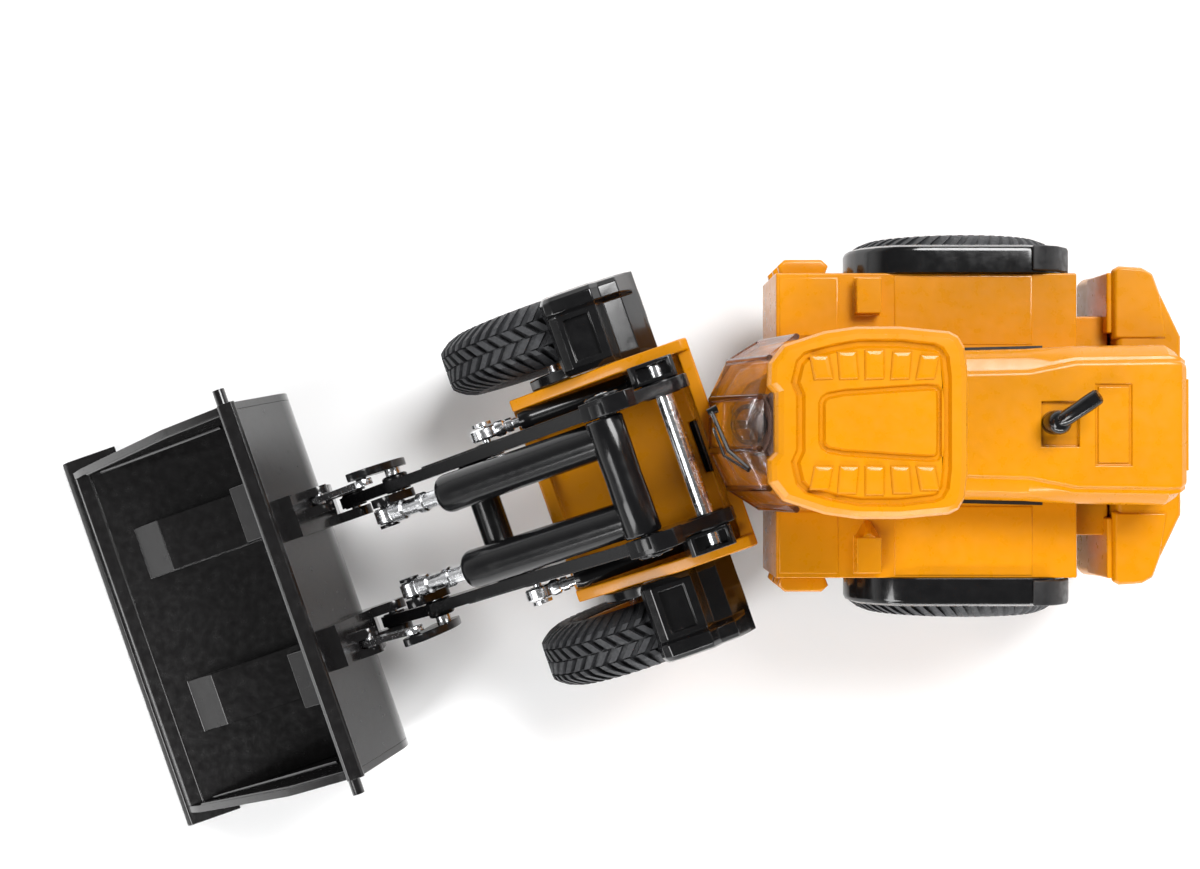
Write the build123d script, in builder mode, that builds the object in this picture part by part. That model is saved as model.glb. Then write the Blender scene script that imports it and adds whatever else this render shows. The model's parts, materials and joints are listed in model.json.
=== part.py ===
"""Toy wheel loader, 1:50: two halves hinged in the middle, a lifting boom and a tilting bucket.

Millimetres, +X forwards, +Y to the loader's left, +Z up. The origin is on the ground, under the
middle of the footprint. Each half is drawn straight, in its own frame with its origin on the ground
under the articulation pin, and is set in place as it is written. The front half is steered left.
"""
import os
from math import atan2, cos, degrees, hypot, radians, sin, tan

from build123d import *

# ---------------------------------------------------------------- driving dimensions
PIN_X = -25.0            # articulation pin, from the middle of the footprint
PIN_Y = -18.2
STEER = 19.3             # the front half's steering angle at rest

CLEAR = 0.3              # free gap between pieces that move past each other
RUNNING = 0.05           # radial clearance of a shaft that turns in a bore

# wheels
TYRE_R = 16.0
TYRE_W = 9.5
RIM_R = 9.2
TRACK = 46.9             # distance between the tyres' mid planes
FRONT_AXLE_X = 26.0
REAR_AXLE_X = -30.0
AXLE_R = 1.2
ARCH_GAP = 1.0           # air between a tyre and its fender
SHOULDER_W = 1.3
SHOULDER_H = 2.2
CROWN_H = 0.3
BEAD = 0.8
RIM_INSET = 1.0
DISC_R = 7.2
DISC_OUT = 1.6           # faces of the disc, from the wheel's mid plane
DISC_BACK = 1.0
HUB_R = 4.0
HUB_BACK = 3.2
HUB_DEPTH = 1.4          # from the tyre's outer face down to the hub's
AXLE_TIP = 0.6

# articulation
PIN_R = 1.5
KNUCKLE_R = 4.0
TONGUE_Z = 15.3
TONGUE_H = 5.7
KNUCKLE_H = 3.0
PIN_HEAD_OVER = 1.0      # how far the pin's head stands over the shank
PIN_HEAD_H = 0.9

# rear half
REAR_FACE_X = -1.6       # front face of the rear body
DECK_HALF = 22.0
DECK_Z = 34.5
DECK_END_X = -45.0
TUB_HALF = 16.0
BELLY_Z = 21.0           # underside of the body between the wheels
PAN_Z = 10.0
PAN_HALF = 12.0
PAN_CORNER = 5.0
STEP_HALF = 24.0
STEP_END_X = -12.4
SLAT_H = 1.6
SLAT_PITCH = 8.0
SLAT_MARGIN = 2.4        # left free at the slats' ends
NECK_DROP = 4.0          # the neck behind the deck is lower than the deck
BLOCK_X = -14.7          # small raised blocks on the deck
BLOCK_Y = 18.6
BLOCK_SIZE = (3.6, 5.2)
BLOCK_H = 2.4
NECK_END_X = -50.5
WEIGHT_END_X = -61.0
WEIGHT_HALF = 23.0
WEIGHT_Z = 12.0
WEIGHT_DROP = 1.0        # the counterweight's top lies below the deck
WEIGHT_TAIL_HALF = 13.0
WEIGHT_TAPER = 1.5
HOOD_START_X = -23.2
HOOD_END_X = -58.2
HOOD_HALF_FRONT = 10.5
HOOD_HALF_REAR = 11.3
HOOD_H = 10.0
HOOD_CORNER = (1.4, 2.2)        # rear corners, along and across
HOOD_SHOULDER = (3.0, 1.8)      # long upper edges, down and in
RECESS_DEPTH = 0.7
EXHAUST_RECESS = (5.3, 6.3)
PANEL_X = -47.6
PANEL_SIZE = (5.1, 11.4)
EXHAUST_X = -39.4
EXHAUST_Y = -0.3
EXHAUST_R = 1.7
EXHAUST_H = 4.6
ELBOW_R = 1.15
ELBOW_L = 6.0
ELBOW_DIRECTION = (-0.75, -0.55, 0.37)
FENDER_OUT = 26.0
FENDER_RISE = 0.8        # the rear fenders stand over the deck
FENDER_FRONT_X = -10.2
FENDER_LOW_Z = 22.0

# cab
CAB_NOSE_X = 8.3
CAB_BACK_X = -22.4
CAB_HALF = 11.8
CAB_LIFT = 2.7           # from the deck to the cab's base
CAB_BASE_H = 2.0
ROOF_RISE = 30.5         # from the deck to the roof's underside
ROOF_H = 4.2
ROOF_FRONT_X = 2.6
ROOF_BACK_X = -22.9
ROOF_HALF = 12.3
ROOF_NOTCH = 1.0         # depth of the notch in the front edge
GLASS_T = 0.8
GLASS_RAKE = 4.2         # the nose leans back by this much up to the roof
GLASS_DRAFT = 0.5
SEAT_X = -7.5
SEAT_W = 9.2
COLUMN_BACK = 3.7        # from the cab's nose back to the steering column
WHEEL_LEAN = 65.0
STEERING_R = 2.9
WIPER_L = 9.0
WIPER_W = 0.5

# front half
FRONT_BACK_X = 6.6
FRONT_NOSE_X = 34.0
SIDE_OFFSET = 3.4        # from the lift cylinder's middle to a side plate's outer face
SIDE_T = 1.8
SIDE_TOP_Z = 36.0
SIDE_NOSE_Z = 27.0
KEEL_Z = 12.0
FLOOR_Z = 20.0
FLOOR_T = 2.0
FLOOR_EDGE = 2.0         # thickness of the walls across the floor's ends
AXLE_BLOCK = 7.0
FRONT_FENDER_OUT = 26.8
FRONT_FENDER_BACK_X = 10.6
FRONT_FENDER_NOSE_X = 25.2
FRONT_FENDER_TOP_Z = 35.6

# boom, in the front half's upright plane (X, Z)
PIVOT = (12.6, 41.0)
YOKE = (20.97, 44.63)
LIFT_EYE = (39.0, 27.5)
CRANK = (54.5, 19.5)
BUCKET_PIN = (62.5, 11.0)
ARM_IN = 8.95            # inner face of an arm
ARM_T = 1.7
PIVOT_SHAFT_R = 1.3
BRACKET_DROP = 9.5
BRACKET_RISE = 2.2
PIN_SMALL_R = 0.8
OUTER_PIN_R = 0.6        # thinner pins that carry the rod eyes
HEAD_R = 1.5
HEAD_T = 0.5
CRANK_SHAFT_R = 1.2
BEAM = (42.3, 25.0)
BEAM_R = 2.3

# lift cylinders
LIFT_BASE = (14.0, 28.0)
LIFT_OFFSET = 1.75       # from an arm's outer face to the lift cylinder's middle
LIFT_BARREL_R = 1.35
LIFT_BARREL_L = 19.5
LIFT_ROD_R = 0.8
LIFT_BASE_EYE_R = 1.8
LIFT_ROD_START = 3.0     # inner end of the rod, from the base pin
LIFT_EYE_R = 2.0
LIFT_EYE_W = 1.8
LIFT_EYE_BORE = 1.05
LIFT_EYE_SHIFT = (0.06, 0.32)   # the eye's centre from its pin, half the linkage's closing error

# tilt cylinders
TILT_Y = 5.85
TILT_BARREL_FRONT_R = 2.8
TILT_BARREL_BACK_R = 2.6
TILT_BARREL_L = 29.5
TUBE_R = 2.25
TUBE_PIN_R = 1.3
TILT_ROD_R = 1.2
TILT_ROD_START = 12.0
TILT_ROD_PIN = (57.0, 23.83)
TILT_EYE_SHIFT = (-0.125, -0.198)   # half the linkage's closing error, as above
TILT_EYE_R = 1.9
TILT_EYE_BORE = 0.95
TILT_EYE_W = 2.4
CRANK_ROOT_R = 2.2
CRANK_TIP_R = 1.6
CRANK_T = 1.3
LEVER_OFFSET = 1.55      # from an arm's outer face to the lever's inner face
LEVER_T = 1.2
LINK_OFFSET = 0.35
LINK_T = 0.9
LINK_R = 1.5
LEVER_ARM = (3.8, 9.2)   # crank to link pin, and bucket pin to the bucket's link pin

# bucket
LIP_X = 105.5
BUCKET_Z = 1.2
BUCKET_HALF = 29.0
CROWN = (72.5, 30.0)
BUCKET_LEAN = 19.0       # lean of the back wall
HEEL_R = 11.0
SHELL_T = 1.1
POCKET_H = 3.6
POCKET_IN = 8.8
POCKET_OUT = 17.2
POCKET_LIP_GAP = 6.6     # from the lip to the pockets' toe
POCKET_TOE = 4.9         # length of the toe's slope
POCKET_TOP_GAP = 3.0
EDGE_OVER = 2.0          # the cutting edge stands out past each cheek
EDGE_W = 8.0
EDGE_T = 0.9
BAR_W = 2.4
BAR_T = 1.8
STUB_R = 0.9
STUB_L = 2.4
EAR_IN = 7.0
EAR_T = 1.5
EAR_OUT_T = 1.2
EAR_R = 2.2
LINK_EAR_R = 1.7
EAR_REACH = 8.0
PAD_LOW_Z = 14.5
PAD_HIGH_Z = 26.5
PAD_T = 1.9

# ---------------------------------------------------------------- derived places
ARM_OUT = ARM_IN + ARM_T
LIFT_Y = ARM_OUT + LIFT_OFFSET
LINK_IN = ARM_OUT + LINK_OFFSET
LEVER_IN = ARM_OUT + LEVER_OFFSET
SIDE_OUT = LIFT_Y + SIDE_OFFSET
EDGE_HALF = BUCKET_HALF + EDGE_OVER
CAB_BASE_Z = DECK_Z + CAB_LIFT
ROOF_Z = DECK_Z + ROOF_RISE
FENDER_TOP_Z = DECK_Z + FENDER_RISE
WEIGHT_TOP_Z = DECK_Z - WEIGHT_DROP
COLUMN_X = CAB_NOSE_X - COLUMN_BACK
SIDE_IN = SIDE_OUT - SIDE_T
ARCH_R = TYRE_R + ARCH_GAP
TYRE_IN = TRACK / 2 - TYRE_W / 2
TYRE_OUT = TRACK / 2 + TYRE_W / 2
CAB_FLOOR_Z = CAB_BASE_Z + CAB_BASE_H
TILT_ANGLE = degrees(atan2(TILT_ROD_PIN[1] - YOKE[1], TILT_ROD_PIN[0] - YOKE[0]))
LIFT_ANGLE = degrees(atan2(LIFT_EYE[1] - LIFT_BASE[1], LIFT_EYE[0] - LIFT_BASE[0]))
LINK_TOP = (CRANK[0] + LEVER_ARM[0], CRANK[1] + LEVER_ARM[1])
LINK_LOW = (BUCKET_PIN[0] + LEVER_ARM[0], BUCKET_PIN[1] + LEVER_ARM[1])

REAR = Location((PIN_X, PIN_Y, 0))
FRONT = Location((PIN_X, PIN_Y, 0), (0, 0, STEER))

os.makedirs("parts", exist_ok=True)


# ---------------------------------------------------------------- helpers
def upright(y):
    """Upright plane along the half, at y, whose normal points right: an extrusion runs towards -Y."""
    return Plane(origin=(0, y, 0), x_dir=(1, 0, 0), z_dir=(0, -1, 0))


def along(point, angle, y=0.0):
    """Plane whose normal runs in the half's upright plane, from point, at an angle above forwards."""
    direction = (cos(radians(angle)), 0, sin(radians(angle)))
    return Plane(origin=(point[0], y, point[1]), x_dir=(0, 1, 0), z_dir=direction)


def shifted(point, shift):
    return (point[0] + shift[0], point[1] + shift[1])


def strap(start, start_r, end, end_r):
    """Outline that wraps a circle round each of two points."""
    first = Pos(*start) * Circle(start_r, mode=Mode.PRIVATE)
    second = Pos(*end) * Circle(end_r, mode=Mode.PRIVATE)
    return make_hull(first.edges() + second.edges(), mode=Mode.PRIVATE)


def write(piece, label, half):
    """Set a finished piece in its half's place, label it and write it."""
    placed = half * piece
    placed.label = label
    export_step(placed, f"parts/{label}.step")


def write_pair(piece, label, half):
    """Write a left-hand piece and its mirror image on the right."""
    write(piece, f"{label}_left", half)
    write(mirror(piece, Plane.XZ), f"{label}_right", half)


def cross_pin(point, radius, low_y, high_y):
    """Add a pin across the half, from low_y to high_y, to the open part."""
    with BuildSketch(upright(high_y)) as disc:
        with Locations(point):
            Circle(radius)
    extrude(disc.sketch, amount=high_y - low_y)


def cross_bore(point, radius, low_y, high_y):
    """Cut a bore across the open part."""
    with BuildSketch(upright(high_y)) as disc:
        with Locations(point):
            Circle(radius)
    extrude(disc.sketch, amount=high_y - low_y, mode=Mode.SUBTRACT)


# ---------------------------------------------------------------- wheels
def write_wheelset(name, axle_x, half):
    """Tyres and rims pressed on one steel axle."""
    hub_out = TYRE_OUT - HUB_DEPTH
    axle_end = hub_out + AXLE_TIP
    with BuildPart() as axle:
        cross_pin((axle_x, TYRE_R), AXLE_R, -axle_end, axle_end)
    write(axle.part, f"{name}_axle", half)

    # wheel profiles: across the wheel from its mid plane, and out from the axle
    profile = Plane(origin=(axle_x, TRACK / 2, TYRE_R), x_dir=(0, 1, 0), z_dir=(1, 0, 0))
    spin = Axis((axle_x, 0, TYRE_R), (0, 1, 0))
    wall = TYRE_W / 2
    crown = wall - SHOULDER_W
    shoulder_r = TYRE_R - SHOULDER_H
    crown_r = TYRE_R - CROWN_H
    bead_r = RIM_R + 1.5 * BEAD
    with BuildPart() as tyre:
        with BuildSketch(profile):
            with BuildLine():
                ThreePointArc((-crown, crown_r), (0, TYRE_R), (crown, crown_r))
                Polyline(
                    (crown, crown_r), (wall, shoulder_r), (wall, bead_r), (wall - BEAD, RIM_R),
                    (-wall + BEAD, RIM_R), (-wall, bead_r), (-wall, shoulder_r), (-crown, crown_r))
            make_face()
        revolve(axis=spin)
    write_pair(tyre.part, f"{name}_tyre", half)

    hub_face = hub_out - TRACK / 2
    rim_edge = wall - RIM_INSET
    with BuildPart() as rim:
        with BuildSketch(profile):
            with BuildLine():
                Polyline(
                    (-HUB_BACK, AXLE_R), (hub_face, AXLE_R), (hub_face, HUB_R - 0.4), (DISC_OUT, HUB_R + 1),
                    (DISC_OUT, DISC_R), (rim_edge, DISC_R + 1), (rim_edge, RIM_R), (-rim_edge, RIM_R),
                    (-rim_edge, DISC_R + 0.6), (-DISC_BACK, DISC_R - 0.4), (-DISC_BACK, HUB_R),
                    (-HUB_BACK, HUB_R), close=True)
            make_face()
        revolve(axis=spin)
    write_pair(rim.part, f"{name}_rim", half)


write_wheelset("rear", REAR_AXLE_X, REAR)
write_wheelset("front", FRONT_AXLE_X, FRONT)

# ---------------------------------------------------------------- articulation
KNUCKLE_LOW_Z = TONGUE_Z - CLEAR - KNUCKLE_H
KNUCKLE_HIGH_Z = TONGUE_Z + TONGUE_H + CLEAR
PIN_LOW_Z = KNUCKLE_LOW_Z - AXLE_TIP
PIN_TOP_Z = KNUCKLE_HIGH_Z + KNUCKLE_H

with BuildPart() as articulation_pin:
    with BuildSketch(Plane.XY.offset(PIN_LOW_Z)):
        Circle(PIN_R)
    extrude(amount=PIN_TOP_Z - PIN_LOW_Z)
    with BuildSketch(Plane.XY.offset(PIN_TOP_Z)):
        Circle(PIN_R + PIN_HEAD_OVER)
    extrude(amount=PIN_HEAD_H)
    fillet(articulation_pin.edges().group_by(Axis.Z)[-1], radius=0.4)
write(articulation_pin.part, "articulation_pin", FRONT)

# ---------------------------------------------------------------- rear chassis
PAN_START_X = -KNUCKLE_R - 2 * CLEAR
PAN_END_X = NECK_END_X + 0.2
with BuildPart() as rear_chassis:
    with BuildSketch(Plane.XY.offset(PAN_Z)):
        with BuildLine():
            Polyline(
                (PAN_START_X, PAN_HALF - PAN_CORNER), (PAN_START_X - PAN_CORNER, PAN_HALF),
                (PAN_END_X, PAN_HALF), (PAN_END_X, -PAN_HALF),
                (PAN_START_X - PAN_CORNER, -PAN_HALF), (PAN_START_X, -PAN_HALF + PAN_CORNER), close=True)
        make_face()
    extrude(amount=BELLY_Z - PAN_Z)
    with BuildSketch(Plane.XY.offset(TONGUE_Z)):
        Circle(KNUCKLE_R)
        with Locations((PAN_START_X / 2, 0)):
            Rectangle(-PAN_START_X, 2 * KNUCKLE_R)
    extrude(amount=TONGUE_H)
    with BuildSketch(Plane.XY.offset(TONGUE_Z - 1)):
        Circle(PIN_R + RUNNING)
    extrude(amount=TONGUE_H + 2, mode=Mode.SUBTRACT)
    cross_bore((REAR_AXLE_X, TYRE_R), AXLE_R + RUNNING, -PAN_HALF - 1, PAN_HALF + 1)
write(rear_chassis.part, "rear_chassis", REAR)

# ---------------------------------------------------------------- rear body
STEP_Z = PAN_Z + 2
ARCH_IN = TYRE_IN - 1.2
with BuildPart() as rear_body:
    with BuildSketch(Plane.XY.offset(BELLY_Z)):
        with Locations(((REAR_FACE_X + NECK_END_X) / 2, 0)):
            Rectangle(REAR_FACE_X - NECK_END_X, 2 * TUB_HALF)
        with Locations(((REAR_FACE_X + DECK_END_X) / 2, 0)):
            Rectangle(REAR_FACE_X - DECK_END_X, 2 * DECK_HALF)
    extrude(amount=DECK_Z - BELLY_Z)
    # the neck behind the deck is lower
    with BuildSketch(Plane.XY.offset(DECK_Z - NECK_DROP)):
        with Locations(((DECK_END_X + NECK_END_X) / 2, 0)):
            Rectangle(DECK_END_X - NECK_END_X, 2 * TUB_HALF)
    extrude(amount=NECK_DROP, mode=Mode.SUBTRACT)
    # stepped boxes ahead of the wheels
    for side in (1, -1):
        with BuildSketch(Plane.XY.offset(STEP_Z)):
            with Locations(((REAR_FACE_X + STEP_END_X) / 2, side * (DECK_HALF + PAN_HALF) / 2)):
                Rectangle(REAR_FACE_X - STEP_END_X, DECK_HALF - PAN_HALF)
        extrude(amount=BELLY_Z - STEP_Z)
        for step in range(3):
            with BuildSketch(Plane.XY.offset(STEP_Z + 1 + step * SLAT_PITCH)):
                with Locations(((REAR_FACE_X + FENDER_FRONT_X) / 2, side * (DECK_HALF + STEP_HALF) / 2)):
                    Rectangle(REAR_FACE_X - FENDER_FRONT_X - SLAT_MARGIN, STEP_HALF - DECK_HALF)
            extrude(amount=SLAT_H)
    # wheel arches
    for side in (1, -1):
        low_y = ARCH_IN if side > 0 else -STEP_HALF
        cross_bore((REAR_AXLE_X, TYRE_R), ARCH_R, low_y, low_y + STEP_HALF - ARCH_IN)
    # small raised blocks on the deck
    for side in (1, -1):
        with BuildSketch(Plane.XY.offset(DECK_Z)):
            with Locations((BLOCK_X, side * BLOCK_Y)):
                Rectangle(*BLOCK_SIZE)
        extrude(amount=BLOCK_H)
    # room for the upper knuckle and the pin's head
    with BuildSketch(Plane.XY.offset(BELLY_Z)):
        Circle(KNUCKLE_R + 2 * CLEAR)
    extrude(amount=PIN_TOP_Z + PIN_HEAD_H + 2 * CLEAR - BELLY_Z, mode=Mode.SUBTRACT)
write(rear_body.part, "rear_body", REAR)

# ---------------------------------------------------------------- counterweight
WEIGHT_H = WEIGHT_TOP_Z - WEIGHT_Z
# the taper shortens the corner edges up to the top, so they limit the top's rounding
CORNER_EDGE = hypot(1, 1) - 2 * tan(radians(22.5)) * WEIGHT_H * tan(radians(WEIGHT_TAPER))
with BuildPart() as counterweight:
    with BuildSketch(Plane.XY.offset(WEIGHT_Z)):
        with BuildLine():
            Polyline(
                (NECK_END_X, WEIGHT_HALF - 1), (NECK_END_X - 1, WEIGHT_HALF),
                (NECK_END_X - 6, WEIGHT_HALF - 0.6), (WEIGHT_END_X, WEIGHT_TAIL_HALF),
                (WEIGHT_END_X, -WEIGHT_TAIL_HALF), (NECK_END_X - 6, -WEIGHT_HALF + 0.6),
                (NECK_END_X - 1, -WEIGHT_HALF), (NECK_END_X, -WEIGHT_HALF + 1), close=True)
        make_face()
    extrude(amount=WEIGHT_H, taper=WEIGHT_TAPER)
    fillet(counterweight.edges().group_by(Axis.Z)[-1], radius=min(0.9, 0.95 * CORNER_EDGE))
write(counterweight.part, "counterweight", REAR)

# ---------------------------------------------------------------- engine hood
HOOD_TOP_Z = DECK_Z + HOOD_H
CORNER_X = HOOD_END_X + HOOD_CORNER[0]
CORNER_Y = HOOD_HALF_REAR - HOOD_CORNER[1]
with BuildPart() as engine_hood:
    with BuildSketch(Plane.XY.offset(DECK_Z)):
        with BuildLine():
            Polyline(
                (HOOD_START_X, HOOD_HALF_FRONT), (CORNER_X, HOOD_HALF_REAR), (HOOD_END_X, CORNER_Y),
                (HOOD_END_X, -CORNER_Y), (CORNER_X, -HOOD_HALF_REAR), (HOOD_START_X, -HOOD_HALF_FRONT),
                close=True)
        make_face()
    extrude(amount=HOOD_H)
    long_edges = engine_hood.edges().group_by(Axis.Z)[-1].filter_by(Axis.X, tolerance=5)
    chamfer(long_edges, length=HOOD_SHOULDER[0], length2=HOOD_SHOULDER[1])
    # square recess of the exhaust and panel recess behind it
    with BuildSketch(Plane.XY.offset(HOOD_TOP_Z)):
        with Locations((EXHAUST_X - 0.8, EXHAUST_Y + 0.2)):
            Rectangle(*EXHAUST_RECESS)
        with Locations((PANEL_X, 0)):
            Rectangle(*PANEL_SIZE)
    extrude(amount=-RECESS_DEPTH, mode=Mode.SUBTRACT)
write(engine_hood.part, "engine_hood", REAR)

# ---------------------------------------------------------------- exhaust
EXHAUST_Z = HOOD_TOP_Z - RECESS_DEPTH
with BuildPart() as exhaust_stack:
    with BuildSketch(Plane(origin=(EXHAUST_X, EXHAUST_Y, EXHAUST_Z))):
        Circle(EXHAUST_R)
    extrude(amount=EXHAUST_H)
    fillet(exhaust_stack.edges().group_by(Axis.Z)[-1], radius=EXHAUST_R - 0.5)
    elbow_root = (EXHAUST_X, EXHAUST_Y, EXHAUST_Z + EXHAUST_H - ELBOW_R)
    with BuildSketch(Plane(origin=elbow_root, z_dir=ELBOW_DIRECTION)):
        Circle(ELBOW_R)
    extrude(amount=ELBOW_L)
write(exhaust_stack.part, "exhaust_stack", REAR)


# ---------------------------------------------------------------- cab
def cab_plan(inset, nose_shift=0.0):
    """Faceted plan of the cab, drawn in by inset, with its nose moved back by nose_shift."""
    half = CAB_HALF - inset
    nose = CAB_NOSE_X - inset - nose_shift
    outline = [(nose, 3.8 - inset / 2), (5.8 - inset - 0.7 * nose_shift, 9.1 - inset),
               (1.5 - inset - 0.5 * nose_shift, half), (CAB_BACK_X + inset, half)]
    points = outline + [(x, -y) for x, y in reversed(outline)]
    return Polyline(*points, close=True)


with BuildPart() as cab_floor:
    with BuildSketch(Plane.XY.offset(CAB_BASE_Z)):
        with BuildLine():
            cab_plan(0)
        make_face()
    extrude(amount=CAB_BASE_H)
    # pedestal between the floor and the deck
    with BuildSketch(Plane.XY.offset(DECK_Z)):
        with Locations(((REAR_FACE_X + CAB_BACK_X) / 2, 0)):
            Rectangle(REAR_FACE_X - CAB_BACK_X, 2 * CAB_HALF)
    extrude(amount=CAB_BASE_Z - DECK_Z)
write(cab_floor.part, "cab_floor", REAR)

with BuildPart() as cab_glazing:
    for inset, mode in ((0.0, Mode.ADD), (GLASS_T, Mode.SUBTRACT)):
        with BuildSketch(Plane.XY.offset(CAB_FLOOR_Z)):
            with BuildLine():
                cab_plan(inset)
            make_face()
        with BuildSketch(Plane.XY.offset(ROOF_Z)):
            with BuildLine():
                cab_plan(inset + GLASS_DRAFT, GLASS_RAKE)
            make_face()
        loft(mode=mode)
write(cab_glazing.part, "cab_glazing", REAR)

with BuildPart() as cab_roof:
    with BuildSketch(Plane.XY.offset(ROOF_Z)):
        with BuildLine():
            roof_side = [
                (ROOF_FRONT_X - ROOF_NOTCH, 3.8), (ROOF_FRONT_X, 4.6), (ROOF_FRONT_X, 6.4),
                (ROOF_FRONT_X - 4, ROOF_HALF - 1.7), (-9.0, ROOF_HALF), (-16.0, ROOF_HALF),
                (ROOF_BACK_X + 0.6, ROOF_HALF - 1.4), (ROOF_BACK_X, ROOF_HALF - 3)]
            Polyline(*roof_side, *((x, -y) for x, y in reversed(roof_side)), close=True)
        make_face()
    extrude(amount=ROOF_H)
    fillet(cab_roof.edges().group_by(Axis.Z)[-1], radius=0.9)
write(cab_roof.part, "cab_roof", REAR)

with BuildPart() as seat:
    with BuildSketch(upright(SEAT_W / 2)):
        with BuildLine():
            Polyline(
                (SEAT_X - 2, CAB_FLOOR_Z), (SEAT_X + 5, CAB_FLOOR_Z), (SEAT_X + 5, CAB_FLOOR_Z + 3.5),
                (SEAT_X + 8, CAB_FLOOR_Z + 4), (SEAT_X + 8, CAB_FLOOR_Z + 6.5), (SEAT_X, CAB_FLOOR_Z + 6),
                (SEAT_X - 2.5, CAB_FLOOR_Z + 19), (SEAT_X - 4.8, CAB_FLOOR_Z + 19),
                (SEAT_X - 3.4, CAB_FLOOR_Z + 4), close=True)
        make_face()
    extrude(amount=SEAT_W)
write(seat.part, "seat", REAR)

# a column on a foot, and the wheel's ring and spoke
COLUMN_TILT = 180 - WHEEL_LEAN
with BuildPart() as steering_wheel:
    with BuildSketch(Plane.XY.offset(CAB_FLOOR_Z)):
        with Locations((COLUMN_X, 0)):
            Rectangle(1.8, 2.6)
    extrude(amount=4.0)
    with BuildSketch(along((COLUMN_X - 0.2, CAB_FLOOR_Z + 3.4), COLUMN_TILT)):
        Circle(0.6)
    extrude(amount=5.0)
    with BuildSketch(along((COLUMN_X - 2.2, CAB_FLOOR_Z + 7.6), COLUMN_TILT)):
        Circle(STEERING_R)
        Circle(STEERING_R - 0.7, mode=Mode.SUBTRACT)
        Rectangle(2 * STEERING_R - 1, 0.7)
    extrude(amount=0.7)
write(steering_wheel.part, "steering_wheel", REAR)

with BuildPart() as wiper:
    facet = Plane(origin=(9.45, 3.3, CAB_FLOOR_Z + 1.2), x_dir=(-0.30, 0.44, 0.85), z_dir=(0.80, 0.55, 0.0))
    with BuildSketch(facet):
        with Locations((WIPER_L / 2, 0)):
            Rectangle(WIPER_L, WIPER_W)
    extrude(amount=WIPER_W)
write(wiper.part, "wiper", REAR)

# ---------------------------------------------------------------- rear fenders
with BuildPart() as rear_fender:
    with BuildSketch(upright(FENDER_OUT)):
        with BuildLine():
            Polyline(
                (DECK_END_X + 0.2, FENDER_LOW_Z), (DECK_END_X + 0.2, FENDER_LOW_Z + 6), (-41, FENDER_TOP_Z),
                (-18, FENDER_TOP_Z), (-12.6, FENDER_TOP_Z - 3.8), (FENDER_FRONT_X, FENDER_LOW_Z + 5),
                (FENDER_FRONT_X, FENDER_LOW_Z), close=True)
        make_face()
        with Locations((REAR_AXLE_X, TYRE_R)):
            Circle(ARCH_R, mode=Mode.SUBTRACT)
    extrude(amount=FENDER_OUT - DECK_HALF)
write_pair(rear_fender.part, "rear_fender", REAR)

# ---------------------------------------------------------------- front body
WALL_LOW_Z = KEEL_Z + 4
with BuildPart() as front_body:
    with BuildSketch(Plane.XY.offset(FLOOR_Z)):
        with Locations(((FRONT_BACK_X + FRONT_NOSE_X) / 2, 0)):
            Rectangle(FRONT_NOSE_X - FRONT_BACK_X, 2 * SIDE_OUT)
    extrude(amount=FLOOR_T)
    for side in (1, -1):
        with BuildSketch(upright(SIDE_OUT if side > 0 else -SIDE_IN)):
            with BuildLine():
                Polyline(
                    (FRONT_BACK_X, KEEL_Z), (FRONT_BACK_X, SIDE_TOP_Z - 1), (FRONT_BACK_X + 1, SIDE_TOP_Z),
                    (18, SIDE_TOP_Z), (FRONT_NOSE_X, SIDE_NOSE_Z), (FRONT_NOSE_X, WALL_LOW_Z),
                    (FRONT_NOSE_X - 4, KEEL_Z), close=True)
            make_face()
        extrude(amount=SIDE_T)
    # walls across the floor's ends
    ends = ((FRONT_BACK_X, SIDE_TOP_Z - 1), (FRONT_NOSE_X - FLOOR_EDGE, SIDE_NOSE_Z - 3.5))
    for start_x, top_z in ends:
        with BuildSketch(Plane.XY.offset(WALL_LOW_Z)):
            with Locations((start_x + FLOOR_EDGE / 2, 0)):
                Rectangle(FLOOR_EDGE, 2 * SIDE_OUT)
        extrude(amount=top_z - WALL_LOW_Z)
    # axle block under the floor
    with BuildSketch(Plane.XY.offset(KEEL_Z + 0.5)):
        with Locations((FRONT_AXLE_X, 0)):
            Rectangle(AXLE_BLOCK, 2 * SIDE_OUT)
    extrude(amount=FLOOR_Z - KEEL_Z - 0.5)
    cross_bore((FRONT_AXLE_X, TYRE_R), AXLE_R + RUNNING, -SIDE_OUT - 1, SIDE_OUT + 1)
    # room for the keel's knuckle web
    with BuildSketch(Plane.XY.offset(KEEL_Z - 1)):
        with Locations((FRONT_BACK_X + 1.0, 0)):
            Rectangle(4, 2 * KNUCKLE_R)
    extrude(amount=KNUCKLE_HIGH_Z + KNUCKLE_H - KEEL_Z + 1, mode=Mode.SUBTRACT)
write(front_body.part, "front_body", FRONT)

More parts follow.
